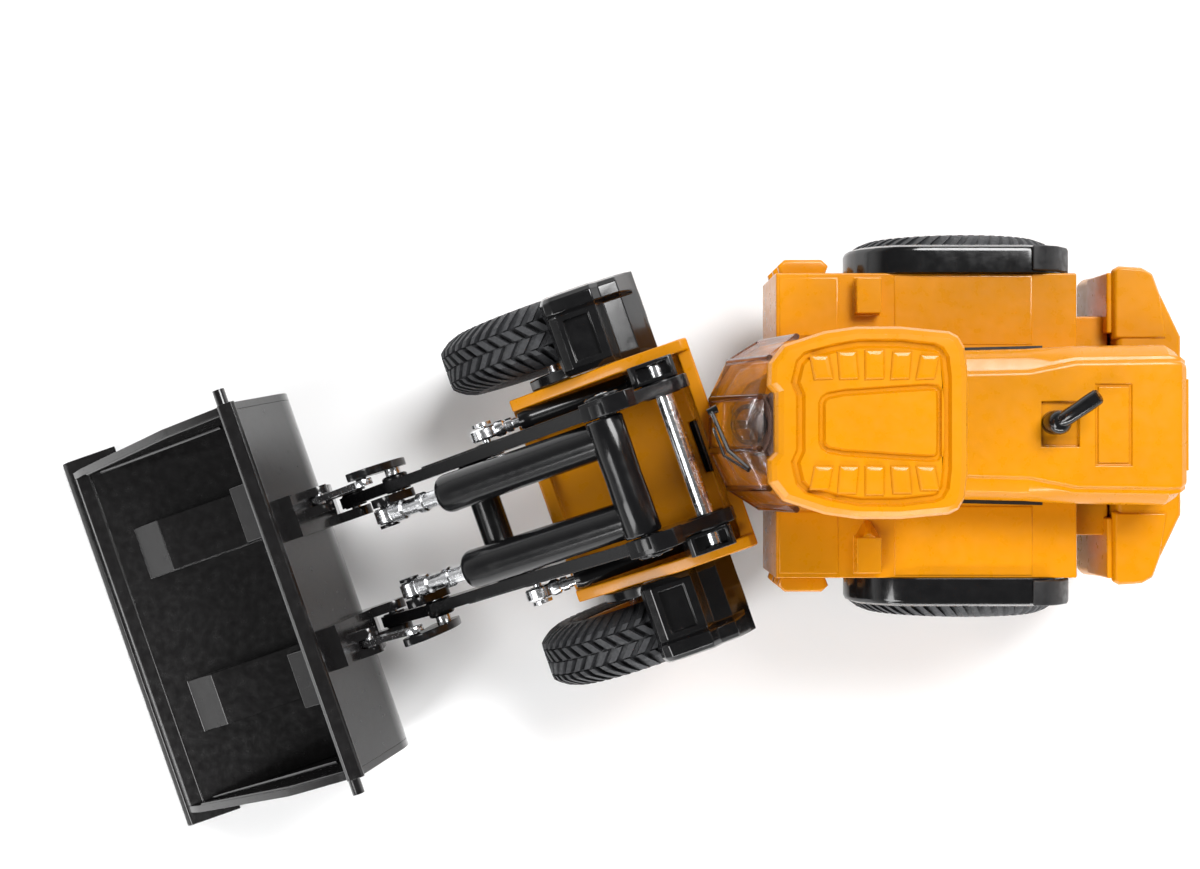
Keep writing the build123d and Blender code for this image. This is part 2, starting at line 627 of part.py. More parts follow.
# keel with the two knuckles that hold the articulation pin
KEEL_END_X = FRONT_AXLE_X - AXLE_BLOCK / 2
WEB_T = 2.4
with BuildPart() as front_keel:
    for level in (KNUCKLE_LOW_Z, KNUCKLE_HIGH_Z):
        with BuildSketch(Plane.XY.offset(level)):
            Circle(KNUCKLE_R)
            with Locations(((FRONT_BACK_X + WEB_T) / 2, 0)):
                Rectangle(FRONT_BACK_X + WEB_T, 2 * KNUCKLE_R)
        extrude(amount=KNUCKLE_H)
    with BuildSketch(Plane.XY.offset(KNUCKLE_LOW_Z)):
        with Locations((FRONT_BACK_X + WEB_T / 2, 0)):
            Rectangle(WEB_T, 2 * KNUCKLE_R)
    extrude(amount=KNUCKLE_HIGH_Z + KNUCKLE_H - KNUCKLE_LOW_Z)
    with BuildSketch(Plane.XY.offset(KNUCKLE_LOW_Z)):
        with Locations(((FRONT_BACK_X + WEB_T + KEEL_END_X) / 2, 0)):
            Rectangle(KEEL_END_X - FRONT_BACK_X - WEB_T, 2 * SIDE_IN - 1)
    extrude(amount=FLOOR_Z - KNUCKLE_LOW_Z)
    with BuildSketch(Plane.XY.offset(KNUCKLE_LOW_Z - 1)):
        Circle(PIN_R)
    extrude(amount=PIN_TOP_Z - KNUCKLE_LOW_Z + 1, mode=Mode.SUBTRACT)
    # the body's floor and rear wall pass between the web and the keel
    with BuildSketch(Plane.XY.offset(FLOOR_Z)):
        with Locations(((FRONT_BACK_X + 3 + KEEL_END_X) / 2, 0)):
            Rectangle(KEEL_END_X - FRONT_BACK_X - 3, 2 * SIDE_IN)
    extrude(amount=5, mode=Mode.SUBTRACT)
write(front_keel.part, "front_keel", FRONT)

with BuildPart() as front_fender:
    with BuildSketch(upright(FRONT_FENDER_OUT)):
        with BuildLine():
            Polyline(
                (FRONT_FENDER_BACK_X, 21), (FRONT_FENDER_BACK_X, 29), (12.4, 32.2),
                (15.5, FRONT_FENDER_TOP_Z), (FRONT_FENDER_NOSE_X - 1.8, FRONT_FENDER_TOP_Z),
                (FRONT_FENDER_NOSE_X, FRONT_FENDER_TOP_Z - 1.4), (FRONT_FENDER_NOSE_X, 30), (14, 21),
                close=True)
        make_face()
        with Locations((FRONT_AXLE_X, TYRE_R)):
            Circle(ARCH_R, mode=Mode.SUBTRACT)
    extrude(amount=FRONT_FENDER_OUT - SIDE_OUT)
write_pair(front_fender.part, "front_fender", FRONT)

# brackets that hold the boom's pivot shaft
SHAFT_END = ARM_OUT + 2.6
with BuildPart() as pivot_bracket:
    with BuildSketch(upright(SIDE_IN)):
        with BuildLine():
            Polyline(
                shifted(PIVOT, (-2.8, -BRACKET_DROP)), shifted(PIVOT, (-2.8, BRACKET_RISE)),
                shifted(PIVOT, (3.6, BRACKET_RISE)), shifted(PIVOT, (4.4, -1)), shifted(PIVOT, (4.4, -6.5)),
                shifted(PIVOT, (1.2, -BRACKET_DROP)), close=True)
        make_face()
    extrude(amount=SIDE_IN - ARM_OUT - CLEAR)
    cross_bore(PIVOT, PIVOT_SHAFT_R, ARM_OUT, SHAFT_END)
write_pair(pivot_bracket.part, "pivot_bracket", FRONT)

with BuildPart() as pivot_shaft:
    cross_pin(PIVOT, PIVOT_SHAFT_R, -SHAFT_END, SHAFT_END)
write(pivot_shaft.part, "pivot_shaft", FRONT)

with BuildPart() as lift_base_pins:
    for low_y in (ARM_OUT + CLEAR, -SIDE_IN):
        cross_pin(LIFT_BASE, PIN_SMALL_R, low_y, low_y + SIDE_IN - ARM_OUT - CLEAR)
write(lift_base_pins.part, "lift_base_pins", FRONT)


# ---------------------------------------------------------------- boom
def add_arm(low_y):
    """Add one boom arm, with its ear for the cross tube, to the open part."""
    with BuildSketch(upright(low_y + ARM_T)) as outline:
        add(strap(PIVOT, 3.4, YOKE, 3.0))
        add(strap(YOKE, 2.6, LIFT_EYE, 2.6))
        add(strap(PIVOT, 2.4, LIFT_EYE, 2.6))
        add(strap(LIFT_EYE, 2.6, CRANK, 2.6))
        add(strap(CRANK, 2.6, BUCKET_PIN, 2.2))
    extrude(outline.sketch, amount=ARM_T)
    bores = ((PIVOT, PIVOT_SHAFT_R + RUNNING), (YOKE, TUBE_PIN_R + RUNNING), (LIFT_EYE, PIN_SMALL_R),
             (CRANK, CRANK_SHAFT_R + RUNNING), (BUCKET_PIN, PIN_SMALL_R + RUNNING), (BEAM, BEAM_R - 1))
    for point, radius in bores:
        cross_bore(point, radius, low_y - 0.1, low_y + ARM_T + 0.1)


with BuildPart() as boom_arm:
    add_arm(ARM_IN)
write_pair(boom_arm.part, "boom_arm", FRONT)

with BuildPart() as boom_cross_beam:
    cross_pin(BEAM, BEAM_R, -ARM_IN, ARM_IN)
    cross_pin(BEAM, BEAM_R - 1, -ARM_OUT, ARM_OUT)
write(boom_cross_beam.part, "boom_cross_beam", FRONT)

LIFT_PIN_END = LIFT_Y + LIFT_EYE_W / 2 + 0.25
with BuildPart() as lift_eye_pins:
    for side in (1, -1):
        inner = min(side * ARM_IN, side * ARM_OUT)
        cross_pin(LIFT_EYE, PIN_SMALL_R, inner, inner + ARM_T)
        outer = min(side * ARM_OUT, side * LIFT_PIN_END)
        cross_pin(LIFT_EYE, OUTER_PIN_R, outer, outer + LIFT_PIN_END - ARM_OUT)
        head = min(side * LIFT_PIN_END, side * (LIFT_PIN_END + HEAD_T))
        cross_pin(LIFT_EYE, HEAD_R, head, head + HEAD_T)
write(lift_eye_pins.part, "lift_eye_pins", FRONT)

# ---------------------------------------------------------------- lift cylinders
LIFT_LENGTH = hypot(LIFT_EYE[0] - LIFT_BASE[0], LIFT_EYE[1] - LIFT_BASE[1])
with BuildPart() as lift_barrel:
    with BuildSketch(along(LIFT_BASE, LIFT_ANGLE, LIFT_Y)):
        Circle(LIFT_BARREL_R)
    extrude(amount=LIFT_BARREL_L)
    with BuildSketch(along(LIFT_BASE, LIFT_ANGLE, LIFT_Y)):
        Circle(LIFT_ROD_R + RUNNING)
    extrude(amount=LIFT_BARREL_L, mode=Mode.SUBTRACT)
    cross_pin(LIFT_BASE, LIFT_BASE_EYE_R, LIFT_Y - 1.2, LIFT_Y + 1.2)
    cross_bore(LIFT_BASE, PIN_SMALL_R + RUNNING, LIFT_Y - 2, LIFT_Y + 2)
write_pair(lift_barrel.part, "lift_barrel", FRONT)

LIFT_EYE_AT = shifted(LIFT_EYE, LIFT_EYE_SHIFT)
with BuildPart() as lift_rod:
    with BuildSketch(along(LIFT_BASE, LIFT_ANGLE, LIFT_Y).offset(LIFT_ROD_START)):
        Circle(LIFT_ROD_R)
    extrude(amount=LIFT_LENGTH - LIFT_ROD_START - LIFT_EYE_R + 0.5)
    cross_pin(LIFT_EYE_AT, LIFT_EYE_R, LIFT_Y - LIFT_EYE_W / 2, LIFT_Y + LIFT_EYE_W / 2)
    cross_bore(LIFT_EYE_AT, LIFT_EYE_BORE, LIFT_Y - 2, LIFT_Y + 2)
write_pair(lift_rod.part, "lift_rod", FRONT)

# ---------------------------------------------------------------- tilt cylinders
TILT_LENGTH = hypot(TILT_ROD_PIN[0] - YOKE[0], TILT_ROD_PIN[1] - YOKE[1])
with BuildPart() as tilt_yoke:
    cross_pin(YOKE, TUBE_R, -ARM_IN + CLEAR, ARM_IN - CLEAR)
    cross_pin(YOKE, TUBE_PIN_R, -ARM_OUT, ARM_OUT)
    for y in (TILT_Y, -TILT_Y):
        with BuildSketch(along(YOKE, TILT_ANGLE, y)):
            Circle(TILT_BARREL_BACK_R)
        with BuildSketch(along(YOKE, TILT_ANGLE, y).offset(TILT_BARREL_L)):
            Circle(TILT_BARREL_FRONT_R)
        loft()
        with BuildSketch(along(YOKE, TILT_ANGLE, y).offset(TUBE_R + 1)):
            Circle(TILT_ROD_R + RUNNING)
        extrude(amount=TILT_BARREL_L, mode=Mode.SUBTRACT)
write(tilt_yoke.part, "tilt_yoke", FRONT)

TILT_EYE_AT = shifted(TILT_ROD_PIN, TILT_EYE_SHIFT)
TILT_EYE_FACE = TILT_Y - TILT_EYE_W / 2
with BuildPart() as tilt_rod:
    with BuildSketch(along(YOKE, TILT_ANGLE, TILT_Y).offset(TILT_ROD_START)):
        Circle(TILT_ROD_R)
    extrude(amount=TILT_LENGTH - TILT_ROD_START - TILT_EYE_R + 0.6)
    cross_pin(TILT_EYE_AT, TILT_EYE_R, TILT_EYE_FACE, TILT_EYE_FACE + TILT_EYE_W)
    cross_bore(TILT_EYE_AT, TILT_EYE_BORE, TILT_Y - 2, TILT_Y + 2)
write_pair(tilt_rod.part, "tilt_rod", FRONT)

# ---------------------------------------------------------------- tilt levers
CRANK_IN = TILT_EYE_FACE + TILT_EYE_W + 0.25
CRANK_HEAD_Y = TILT_EYE_FACE - 0.1
with BuildPart() as lever_crank:
    with BuildSketch(upright(CRANK_IN + CRANK_T)):
        add(strap(CRANK, CRANK_ROOT_R, TILT_ROD_PIN, CRANK_TIP_R))
    extrude(amount=CRANK_T)
    cross_pin(TILT_ROD_PIN, OUTER_PIN_R, CRANK_HEAD_Y, CRANK_IN)
    cross_pin(TILT_ROD_PIN, HEAD_R, CRANK_HEAD_Y - HEAD_T, CRANK_HEAD_Y)
    cross_bore(CRANK, CRANK_SHAFT_R, CRANK_IN - 0.1, CRANK_IN + CRANK_T + 0.1)
write_pair(lever_crank.part, "lever_crank", FRONT)

LEVER_OUT = LEVER_IN + LEVER_T
with BuildPart() as lever_shaft:
    cross_pin(CRANK, CRANK_SHAFT_R, CRANK_IN, LEVER_OUT)
write_pair(lever_shaft.part, "lever_shaft", FRONT)

with BuildPart() as tilt_lever:
    with BuildSketch(upright(LEVER_OUT)):
        with BuildLine():
            back, front = shifted(CRANK, (-2.2, -1.4)), shifted(CRANK, (2.4, -1.2))
            top_back, top_front = shifted(LINK_TOP, (-1.4, 1.3)), shifted(LINK_TOP, (1.5, -1.4))
            Spline(back, shifted(CRANK, (-1.6, 4.6)), top_back)
            Spline(top_back, shifted(LINK_TOP, (1.7, 1.2)), top_front)
            Spline(top_front, shifted(CRANK, (3.6, 4.2)), front)
            Spline(front, shifted(CRANK, (0, -2.4)), back)
        make_face()
    extrude(amount=LEVER_T)
    cross_bore(CRANK, CRANK_SHAFT_R, LEVER_IN - 0.1, LEVER_OUT + 0.1)
    cross_pin(LINK_TOP, PIN_SMALL_R, LINK_IN, LEVER_IN)
write_pair(tilt_lever.part, "tilt_lever", FRONT)

with BuildPart() as tilt_link:
    with BuildSketch(upright(LINK_IN + LINK_T)):
        add(strap(LINK_TOP, LINK_R, LINK_LOW, LINK_R))
    extrude(amount=LINK_T)
    for point in (LINK_TOP, LINK_LOW):
        cross_bore(point, PIN_SMALL_R + RUNNING, LINK_IN - 0.1, LINK_IN + LINK_T + 0.1)
write_pair(tilt_link.part, "tilt_link", FRONT)


# ---------------------------------------------------------------- bucket
def skin_points(depth):
    """Lip, heel and crown of the bucket's section, depth inside its outer skin."""
    lean = radians(BUCKET_LEAN)
    heel_x = CROWN[0] - (CROWN[1] - BUCKET_Z) * tan(lean)
    lip = (LIP_X, BUCKET_Z + depth)
    heel = (heel_x + depth * (tan(lean) + 1 / cos(lean)), BUCKET_Z + depth)
    crown = (CROWN[0] + depth / cos(lean), CROWN[1])
    return lip, heel, crown


def section(depth, *mouth):
    """Closed section of the bucket, from its skin to the points of the mouth."""
    lip, heel, crown = skin_points(depth)
    FilletPolyline(lip, heel, crown, radius=HEEL_R - depth)
    Polyline(crown, *mouth, lip)


CHEEK = ((CROWN[0] + 12, CROWN[1] - 5.5), (LIP_X - 2.6, BUCKET_Z + 4.0))
MOUTH = ((CROWN[0] + 12, CROWN[1] + 8), (LIP_X + 8, BUCKET_Z + 12))

def add_bar(high_y, length):
    """Add a stretch of the square bar along the crown to the open part."""
    with BuildSketch(upright(high_y)) as outline:
        with Locations((CROWN[0] + BAR_W / 2 - 0.4, CROWN[1] - BAR_T / 2 + 0.4)):
            Rectangle(BAR_W, BAR_T)
    extrude(outline.sketch, amount=length)


CHEEK_IN = BUCKET_HALF - SHELL_T
with BuildPart() as bucket_cheek:
    with BuildSketch(upright(BUCKET_HALF)):
        with BuildLine():
            section(0, *CHEEK)
        make_face()
    extrude(amount=SHELL_T)
    add_bar(BUCKET_HALF, SHELL_T)
    cross_pin((CROWN[0] + BAR_W / 2, CROWN[1] - 0.6), STUB_R, CHEEK_IN, BUCKET_HALF + STUB_L)
write_pair(bucket_cheek.part, "bucket_cheek", FRONT)

with BuildPart() as bucket:
    with BuildSketch(upright(CHEEK_IN)):
        with BuildLine():
            section(0, *CHEEK)
        make_face()
    extrude(amount=2 * CHEEK_IN)
    with BuildSketch(upright(CHEEK_IN)):
        with BuildLine():
            section(SHELL_T, *MOUTH)
        make_face()
    extrude(amount=2 * CHEEK_IN, mode=Mode.SUBTRACT)
    # raised pockets down the back and along the floor
    for side in (1, -1):
        high_y = POCKET_OUT if side > 0 else -POCKET_IN
        outer = skin_points(SHELL_T - 0.2)
        inner = skin_points(SHELL_T + POCKET_H)
        outer_toe = shifted(outer[0], (-POCKET_LIP_GAP, 0))
        outer_top = shifted(outer[2], (0, -0.4))
        inner_toe = shifted(inner[0], (-POCKET_LIP_GAP - POCKET_TOE, 0))
        inner_top = shifted(inner[2], (0, -POCKET_TOP_GAP))
        with BuildSketch(upright(high_y)):
            with BuildLine():
                FilletPolyline(outer_toe, outer[1], outer_top, radius=HEEL_R - SHELL_T)
                FilletPolyline(inner_toe, inner[1], inner_top, radius=HEEL_R - SHELL_T - POCKET_H)
                Line(outer_toe, inner_toe)
                Line(outer_top, inner_top)
            make_face()
        extrude(amount=POCKET_OUT - POCKET_IN)
    add_bar(CHEEK_IN, 2 * CHEEK_IN)
write(bucket.part, "bucket", FRONT)

EDGE_LOW_Z = BUCKET_Z - EDGE_T
with BuildPart() as cutting_edge:
    with BuildSketch(upright(EDGE_HALF)):
        with BuildLine():
            Polyline(
                (LIP_X - EDGE_W, BUCKET_Z), (LIP_X - EDGE_W + 0.6, EDGE_LOW_Z), (LIP_X, EDGE_LOW_Z),
                (LIP_X + 1.2, EDGE_LOW_Z + 0.3), (LIP_X + 0.4, BUCKET_Z), close=True)
        make_face()
    extrude(amount=2 * EDGE_HALF)
write(cutting_edge.part, "cutting_edge", FRONT)

# ears of the bucket pin and of the link pin on a pad against the back wall
EAR_OUT = ARM_OUT + CLEAR
EAR_END = EAR_OUT + EAR_OUT_T
LINK_EAR_IN = ARM_IN + 0.4
LINK_EAR_T = LINK_IN - CLEAR - LINK_EAR_IN
PAD_OUT = LEVER_IN + LEVER_T
LINK_ROOT_Z = 19.6


def behind_wall(z):
    """Point of the pad's back face at height z."""
    return (CROWN[0] - (CROWN[1] - z) * tan(radians(BUCKET_LEAN)) - PAD_T, z)


def add_ear(pin, radius, low_y, thick, root_z):
    """Add one ear, from its pin to the pad, to the open part."""
    with BuildSketch(upright(low_y + thick)) as outline:
        add(strap(pin, radius, (pin[0] + EAR_REACH, root_z), radius + 0.6))
    extrude(outline.sketch, amount=thick)


with BuildPart() as bucket_bracket:
    add_ear(BUCKET_PIN, EAR_R, EAR_IN, EAR_T, 10.0)
    add_ear(BUCKET_PIN, EAR_R, EAR_OUT, EAR_OUT_T, 10.0)
    add_ear(LINK_LOW, LINK_EAR_R, LINK_EAR_IN, LINK_EAR_T, LINK_ROOT_Z)
    add_ear(LINK_LOW, LINK_EAR_R, LEVER_IN, LEVER_T, LINK_ROOT_Z)
    pad_top = behind_wall(PAD_HIGH_Z)
    with BuildSketch(upright(PAD_OUT)):
        with BuildLine():
            Polyline(
                (65.6, 8.5), behind_wall(PAD_LOW_Z), pad_top, shifted(pad_top, (8, 0)), (75, 8.5),
                close=True)
        make_face()
    extrude(amount=PAD_OUT - EAR_IN)
    # room for the link
    with BuildSketch(upright(LINK_IN + LINK_T + CLEAR)):
        with Locations(LINK_LOW):
            Circle(LINK_R + CLEAR)
    extrude(amount=LINK_T + 2 * CLEAR, mode=Mode.SUBTRACT)
    # seat against the bucket's skin
    with BuildSketch(upright(PAD_OUT + 1)):
        with BuildLine():
            section(0, *CHEEK)
        make_face()
    extrude(amount=PAD_OUT - EAR_IN + 2, mode=Mode.SUBTRACT)
    cross_bore(BUCKET_PIN, PIN_SMALL_R, EAR_IN, EAR_END)
    cross_bore(LINK_LOW, PIN_SMALL_R, LINK_EAR_IN, PAD_OUT)
write_pair(bucket_bracket.part, "bucket_bracket", FRONT)

with BuildPart() as bucket_pin:
    cross_pin(BUCKET_PIN, PIN_SMALL_R, EAR_IN, EAR_END)
    cross_pin(LINK_LOW, PIN_SMALL_R, LINK_EAR_IN, PAD_OUT)
write_pair(bucket_pin.part, "bucket_pins", FRONT)
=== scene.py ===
"""Looks of the toy wheel loader: finishes, moulded details, tyre treads, floor, light and camera.

The CAD frame gives every place. Details are drawn in millimetres in the frame of the half that
carries them, with the origin on the ground under the articulation pin, +X forwards and +Z up.
"""
import json
from math import atan2, cos, pi, radians, sin, sqrt

import bmesh
import bpy
from mathutils import Matrix, Vector


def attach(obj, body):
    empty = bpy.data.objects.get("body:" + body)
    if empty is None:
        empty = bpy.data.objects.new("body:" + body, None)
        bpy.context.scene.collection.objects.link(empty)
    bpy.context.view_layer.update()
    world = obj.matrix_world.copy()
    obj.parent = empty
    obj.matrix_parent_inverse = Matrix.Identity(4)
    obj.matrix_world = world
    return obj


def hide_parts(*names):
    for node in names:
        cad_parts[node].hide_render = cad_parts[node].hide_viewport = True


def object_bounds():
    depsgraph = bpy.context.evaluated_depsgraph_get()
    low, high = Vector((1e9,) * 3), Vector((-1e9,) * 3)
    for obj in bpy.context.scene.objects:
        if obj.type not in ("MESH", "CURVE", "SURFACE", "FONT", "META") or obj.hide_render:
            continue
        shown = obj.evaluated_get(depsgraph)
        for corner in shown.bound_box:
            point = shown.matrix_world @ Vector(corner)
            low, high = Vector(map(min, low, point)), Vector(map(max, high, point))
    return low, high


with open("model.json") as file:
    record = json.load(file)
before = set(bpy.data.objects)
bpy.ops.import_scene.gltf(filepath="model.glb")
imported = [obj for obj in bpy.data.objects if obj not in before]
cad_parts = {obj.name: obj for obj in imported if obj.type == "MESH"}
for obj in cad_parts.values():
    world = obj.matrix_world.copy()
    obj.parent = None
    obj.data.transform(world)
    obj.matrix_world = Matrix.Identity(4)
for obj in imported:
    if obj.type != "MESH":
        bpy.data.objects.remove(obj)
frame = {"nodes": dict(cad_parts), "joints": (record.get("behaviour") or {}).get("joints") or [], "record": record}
CAD_BOX = [list(corner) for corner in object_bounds()]

MM = 0.001
JOINTS = {joint["name"]: joint for joint in frame["joints"]}
PIN = Vector(JOINTS["steering"]["pos_m"])
AXLE_DIRECTION = JOINTS["front_axle_roll"]["axis"]
STEER = atan2(-AXLE_DIRECTION[0], AXLE_DIRECTION[1])
REAR = Matrix.Translation((PIN.x, PIN.y, 0)) @ Matrix.Scale(MM, 4)
FRONT = Matrix.Translation((PIN.x, PIN.y, 0)) @ Matrix.Rotation(STEER, 4, "Z") @ Matrix.Scale(MM, 4)
REAR_BODIES = ("rear_frame", "rear_wheels")
BODY_OF = {node: body for body, nodes in frame["record"]["behaviour"]["bodies"].items() for node in nodes}
SLOT_OF = {part["node"]: part["material_slot"] for part in frame["record"]["subparts"]}


def half_of(node):
    return REAR if BODY_OF[node] in REAR_BODIES else FRONT


def local_box(node):
    """Lowest and highest corner of a CAD node, in millimetres in its half's frame."""
    inverse = half_of(node).inverted()
    points = [inverse @ v.co for v in frame["nodes"][node].data.vertices]
    low = Vector(min(p[i] for p in points) for i in range(3))
    high = Vector(max(p[i] for p in points) for i in range(3))
    return low, high


def place_of(joint):
    """Place of a joint at rest, in millimetres in the front half's frame."""
    return FRONT.inverted() @ Vector(JOINTS[joint]["pos_m"])


PIVOT, YOKE, CRANK, BUCKET_PIN, LIFT_BASE = (place_of(name) for name in (
    "boom_lift", "tilt_barrel_swing", "lever_swing", "bucket_tilt", "lift_barrel_swing"))

# places in millimetres that several pieces share
DECK_Z = 34.5
AXLE_Z = 16.0
REAR_AXLE_X = -30.0
FRONT_AXLE_X = 26.0
ARCH_RADIUS = 17.0
LIFT_CYLINDER_Y = 12.4
TILT_CYLINDER_Y = 5.85
LIFT_EYE = Vector((39.06, 0, 27.82))
TILT_EYE = Vector((57.0, 0, 23.83))
CROSS_TUBE_AHEAD = 0.8      # the cross tube is drawn this far ahead of its joint
BUCKET_LEAN = radians(19)   # of the bucket's back from upright
GLASS_EDGE_INSET = 0.3


# ---------------------------------------------------------------- materials
class Finish:
    """A node material, built up from a Principled shader and coordinates in millimetres."""

    def __init__(self, name, base, roughness, metallic=0.0):
        self.material = bpy.data.materials.new(name)
        self.material.use_nodes = True
        self.nodes = self.material.node_tree.nodes
        self.links = self.material.node_tree.links
        self.shader = self.nodes["Principled BSDF"]
        self.base = base
        self.shader.inputs["Base Color"].default_value = (*base, 1)
        self.shader.inputs["Roughness"].default_value = roughness
        self.shader.inputs["Metallic"].default_value = metallic
        place = self.nodes.new("ShaderNodeTexCoord")
        scale = self.nodes.new("ShaderNodeVectorMath")
        scale.operation = "SCALE"
        scale.inputs["Scale"].default_value = 1 / MM
        self.links.new(place.outputs["Object"], scale.inputs[0])
        self.place = scale.outputs[0]

    def noise(self, scale, detail, roughness=0.5):
        """Value of a noise with features of about 1/scale millimetres."""
        node = self.nodes.new("ShaderNodeTexNoise")
        node.inputs["Scale"].default_value = scale
        node.inputs["Detail"].default_value = detail
        node.inputs["Roughness"].default_value = roughness
        self.links.new(self.place, node.inputs["Vector"])
        return node.outputs["Fac"]

    def ramp(self, value, stops):
        """Colour ramp over a value; stops are (position, colour) pairs."""
        node = self.nodes.new("ShaderNodeValToRGB")
        ramp = node.color_ramp
        while len(ramp.elements) < len(stops):
            ramp.elements.new(0.5)
        for element, (position, colour) in zip(ramp.elements, stops):
            element.position = position
            element.color = (*colour, 1)
        self.links.new(value, node.inputs["Fac"])
        return node.outputs["Color"]

    def spread(self, value, low, high):
        """Maps 0.3..0.7, where a noise mostly lies, to low..high."""
        node = self.nodes.new("ShaderNodeMapRange")
        node.inputs["From Min"].default_value = 0.3
        node.inputs["From Max"].default_value = 0.7
        node.inputs["To Min"].default_value = low
        node.inputs["To Max"].default_value = high
        self.links.new(value, node.inputs["Value"])
        return node.outputs["Result"]

    def colour(self, value, *stops):
        self.links.new(self.ramp(value, stops), self.shader.inputs["Base Color"])

    def rough(self, value, low, high):
        self.links.new(self.spread(value, low, high), self.shader.inputs["Roughness"])

    def bump(self, value, height_mm, strength=1.0):
        """Adds relief of about height_mm on top of any relief before it."""
        node = self.nodes.new("ShaderNodeBump")
        node.inputs["Strength"].default_value = strength
        node.inputs["Distance"].default_value = height_mm * MM
        self.links.new(value, node.inputs["Height"])
        before = self.shader.inputs["Normal"]
        if before.is_linked:
            self.links.new(before.links[0].from_socket, node.inputs["Normal"])
        self.links.new(node.outputs["Normal"], before)


def shade(colour, factor):
    return tuple(channel * factor for channel in colour)


def enamel(name, base, roughness, coat=0.25):
    """Thick glossy enamel on a casting: orange peel, faint tone changes, uneven gloss."""
    finish = Finish(name, base, roughness)
    finish.colour(finish.noise(0.09, 4), (0.3, shade(base, 0.93)), (0.5, base), (0.72, shade(base, 1.05)))
    finish.rough(finish.noise(0.6, 5), roughness * 0.8, roughness * 1.35)
    finish.bump(finish.noise(0.9, 2), 0.035, 0.35)
    finish.bump(finish.noise(7, 3), 0.006, 0.25)
    finish.shader.inputs["Specular IOR Level"].default_value = 0.25
    finish.shader.inputs["Coat Weight"].default_value = coat
    finish.shader.inputs["Coat Roughness"].default_value = 0.08
    return finish.material


def moulded(name, base, roughness, grain=0.01, coat=0.0):
    """Moulded plastic: soft unevenness, fine grain, and patches dulled by a thin dust."""
    finish = Finish(name, base, roughness)
    dusty = tuple(channel * 0.9 + 0.004 for channel in base)
    finish.colour(finish.noise(0.5, 6, roughness=0.65), (0.35, base), (0.75, dusty))
    finish.rough(finish.noise(0.8, 5), roughness * 0.75, roughness * 1.4)
    finish.bump(finish.noise(6, 4), grain, 0.5)
    finish.bump(finish.noise(0.35, 2), 0.05, 0.25)
    finish.shader.inputs["Specular IOR Level"].default_value = 0.4
    finish.shader.inputs["Coat Weight"].default_value = coat
    finish.shader.inputs["Coat Roughness"].default_value = 0.1
    return finish.material


def plated(name, base, roughness):
    """Bright zinc plating: small pits and duller patches."""
    finish = Finish(name, base, roughness, metallic=1.0)
    finish.colour(finish.noise(1.6, 5), (0.3, shade(base, 0.86)), (0.55, base), (0.8, shade(base, 1.08)))
    finish.rough(finish.noise(2.2, 5), roughness * 0.7, roughness * 1.5)
    finish.bump(finish.noise(3.5, 3), 0.008, 0.4)
    return finish.material


def rubber(name, base):
    """Soft tyre rubber: matt, greyed in patches, with a fine sandy grain."""
    finish = Finish(name, base, 0.62)
    finish.colour(finish.noise(1.4, 6, roughness=0.7), (0.3, shade(base, 0.7)), (0.55, base),
                  (0.8, shade(base, 1.8)))
    finish.rough(finish.noise(2.4, 4), 0.48, 0.78)
    finish.bump(finish.noise(9, 5), 0.03, 0.6)
    return finish.material


def clear(name, tint=(0.80, 0.60, 0.54), alpha=0.45):
    """Clear moulded glazing, faintly tinted, with the waviness of a thin moulding."""
    finish = Finish(name, tint, 0.04)
    finish.colour(finish.noise(0.12, 2), (0.3, tint), (0.7, shade(tint, 1.12)))
    finish.bump(finish.noise(0.25, 2), 0.05, 0.4)
    finish.rough(finish.noise(1.2, 3), 0.02, 0.09)
    finish.shader.inputs["Transmission Weight"].default_value = 1.0
    finish.shader.inputs["IOR"].default_value = 1.35
    finish.shader.inputs["Alpha"].default_value = alpha
    return finish.material


YELLOW = (0.60, 0.225, 0.0)
MATERIALS = {
    "body_yellow": enamel("body_yellow", YELLOW, 0.3),
    "black_gloss": moulded("black_gloss", (0.004, 0.004, 0.0045), 0.16, grain=0.004, coat=0.4),
    "black_arm": enamel("black_arm", (0.005, 0.005, 0.0055), 0.2),
    "black_bucket": moulded("black_bucket", (0.0055, 0.005, 0.0052), 0.2, grain=0.003, coat=0.5),
    "black_satin": moulded("black_satin", (0.016, 0.016, 0.017), 0.42),
    "steel": plated("steel", (0.86, 0.87, 0.89), 0.2),
    "tyre_rubber": rubber("tyre_rubber", (0.03, 0.031, 0.034)),
    "rim_yellow": moulded("rim_yellow", shade(YELLOW, 0.95), 0.32, coat=0.3),
    "clear_glass": clear("clear_glass"),
    # darker, denser tint for the glazing's edges: painted shade standing in for how thick clear plastic darkens
    # seen edge on
    "glass_edge_painted_shade": clear("glass_edge_painted_shade", (0.30, 0.15, 0.15), 0.85),
    "seat_grey": moulded("seat_grey", (0.13, 0.085, 0.07), 0.5, grain=0.02),
}


# ---------------------------------------------------------------- pieces
REDRAWN = []    # CAD nodes that a drawn piece stands in for


def dress(piece, slot, material=None):
    """Puts a slot's material, or another one that counts as that slot, on a piece."""
    piece.data.materials.clear()
    piece.data.materials.append(MATERIALS[material or slot])


def piece_from(name, bm, half, body, slot, bevel=0.0, segments=3, replaces=(), smooth=35):
    """Turns a bmesh drawn in millimetres into a piece that rides on a body."""
    bmesh.ops.recalc_face_normals(bm, faces=bm.faces)
    bmesh.ops.transform(bm, matrix=half, verts=bm.verts)
    mesh = bpy.data.meshes.new(name)
    bm.to_mesh(mesh)
    bm.free()
    piece = bpy.data.objects.new(name, mesh)
    bpy.context.scene.collection.objects.link(piece)
    finish_piece(piece, bevel, segments, smooth)
    dress(piece, slot)
    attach(piece, body)
    if replaces:
        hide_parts(*replaces)
        REDRAWN.extend(replaces)
    return piece


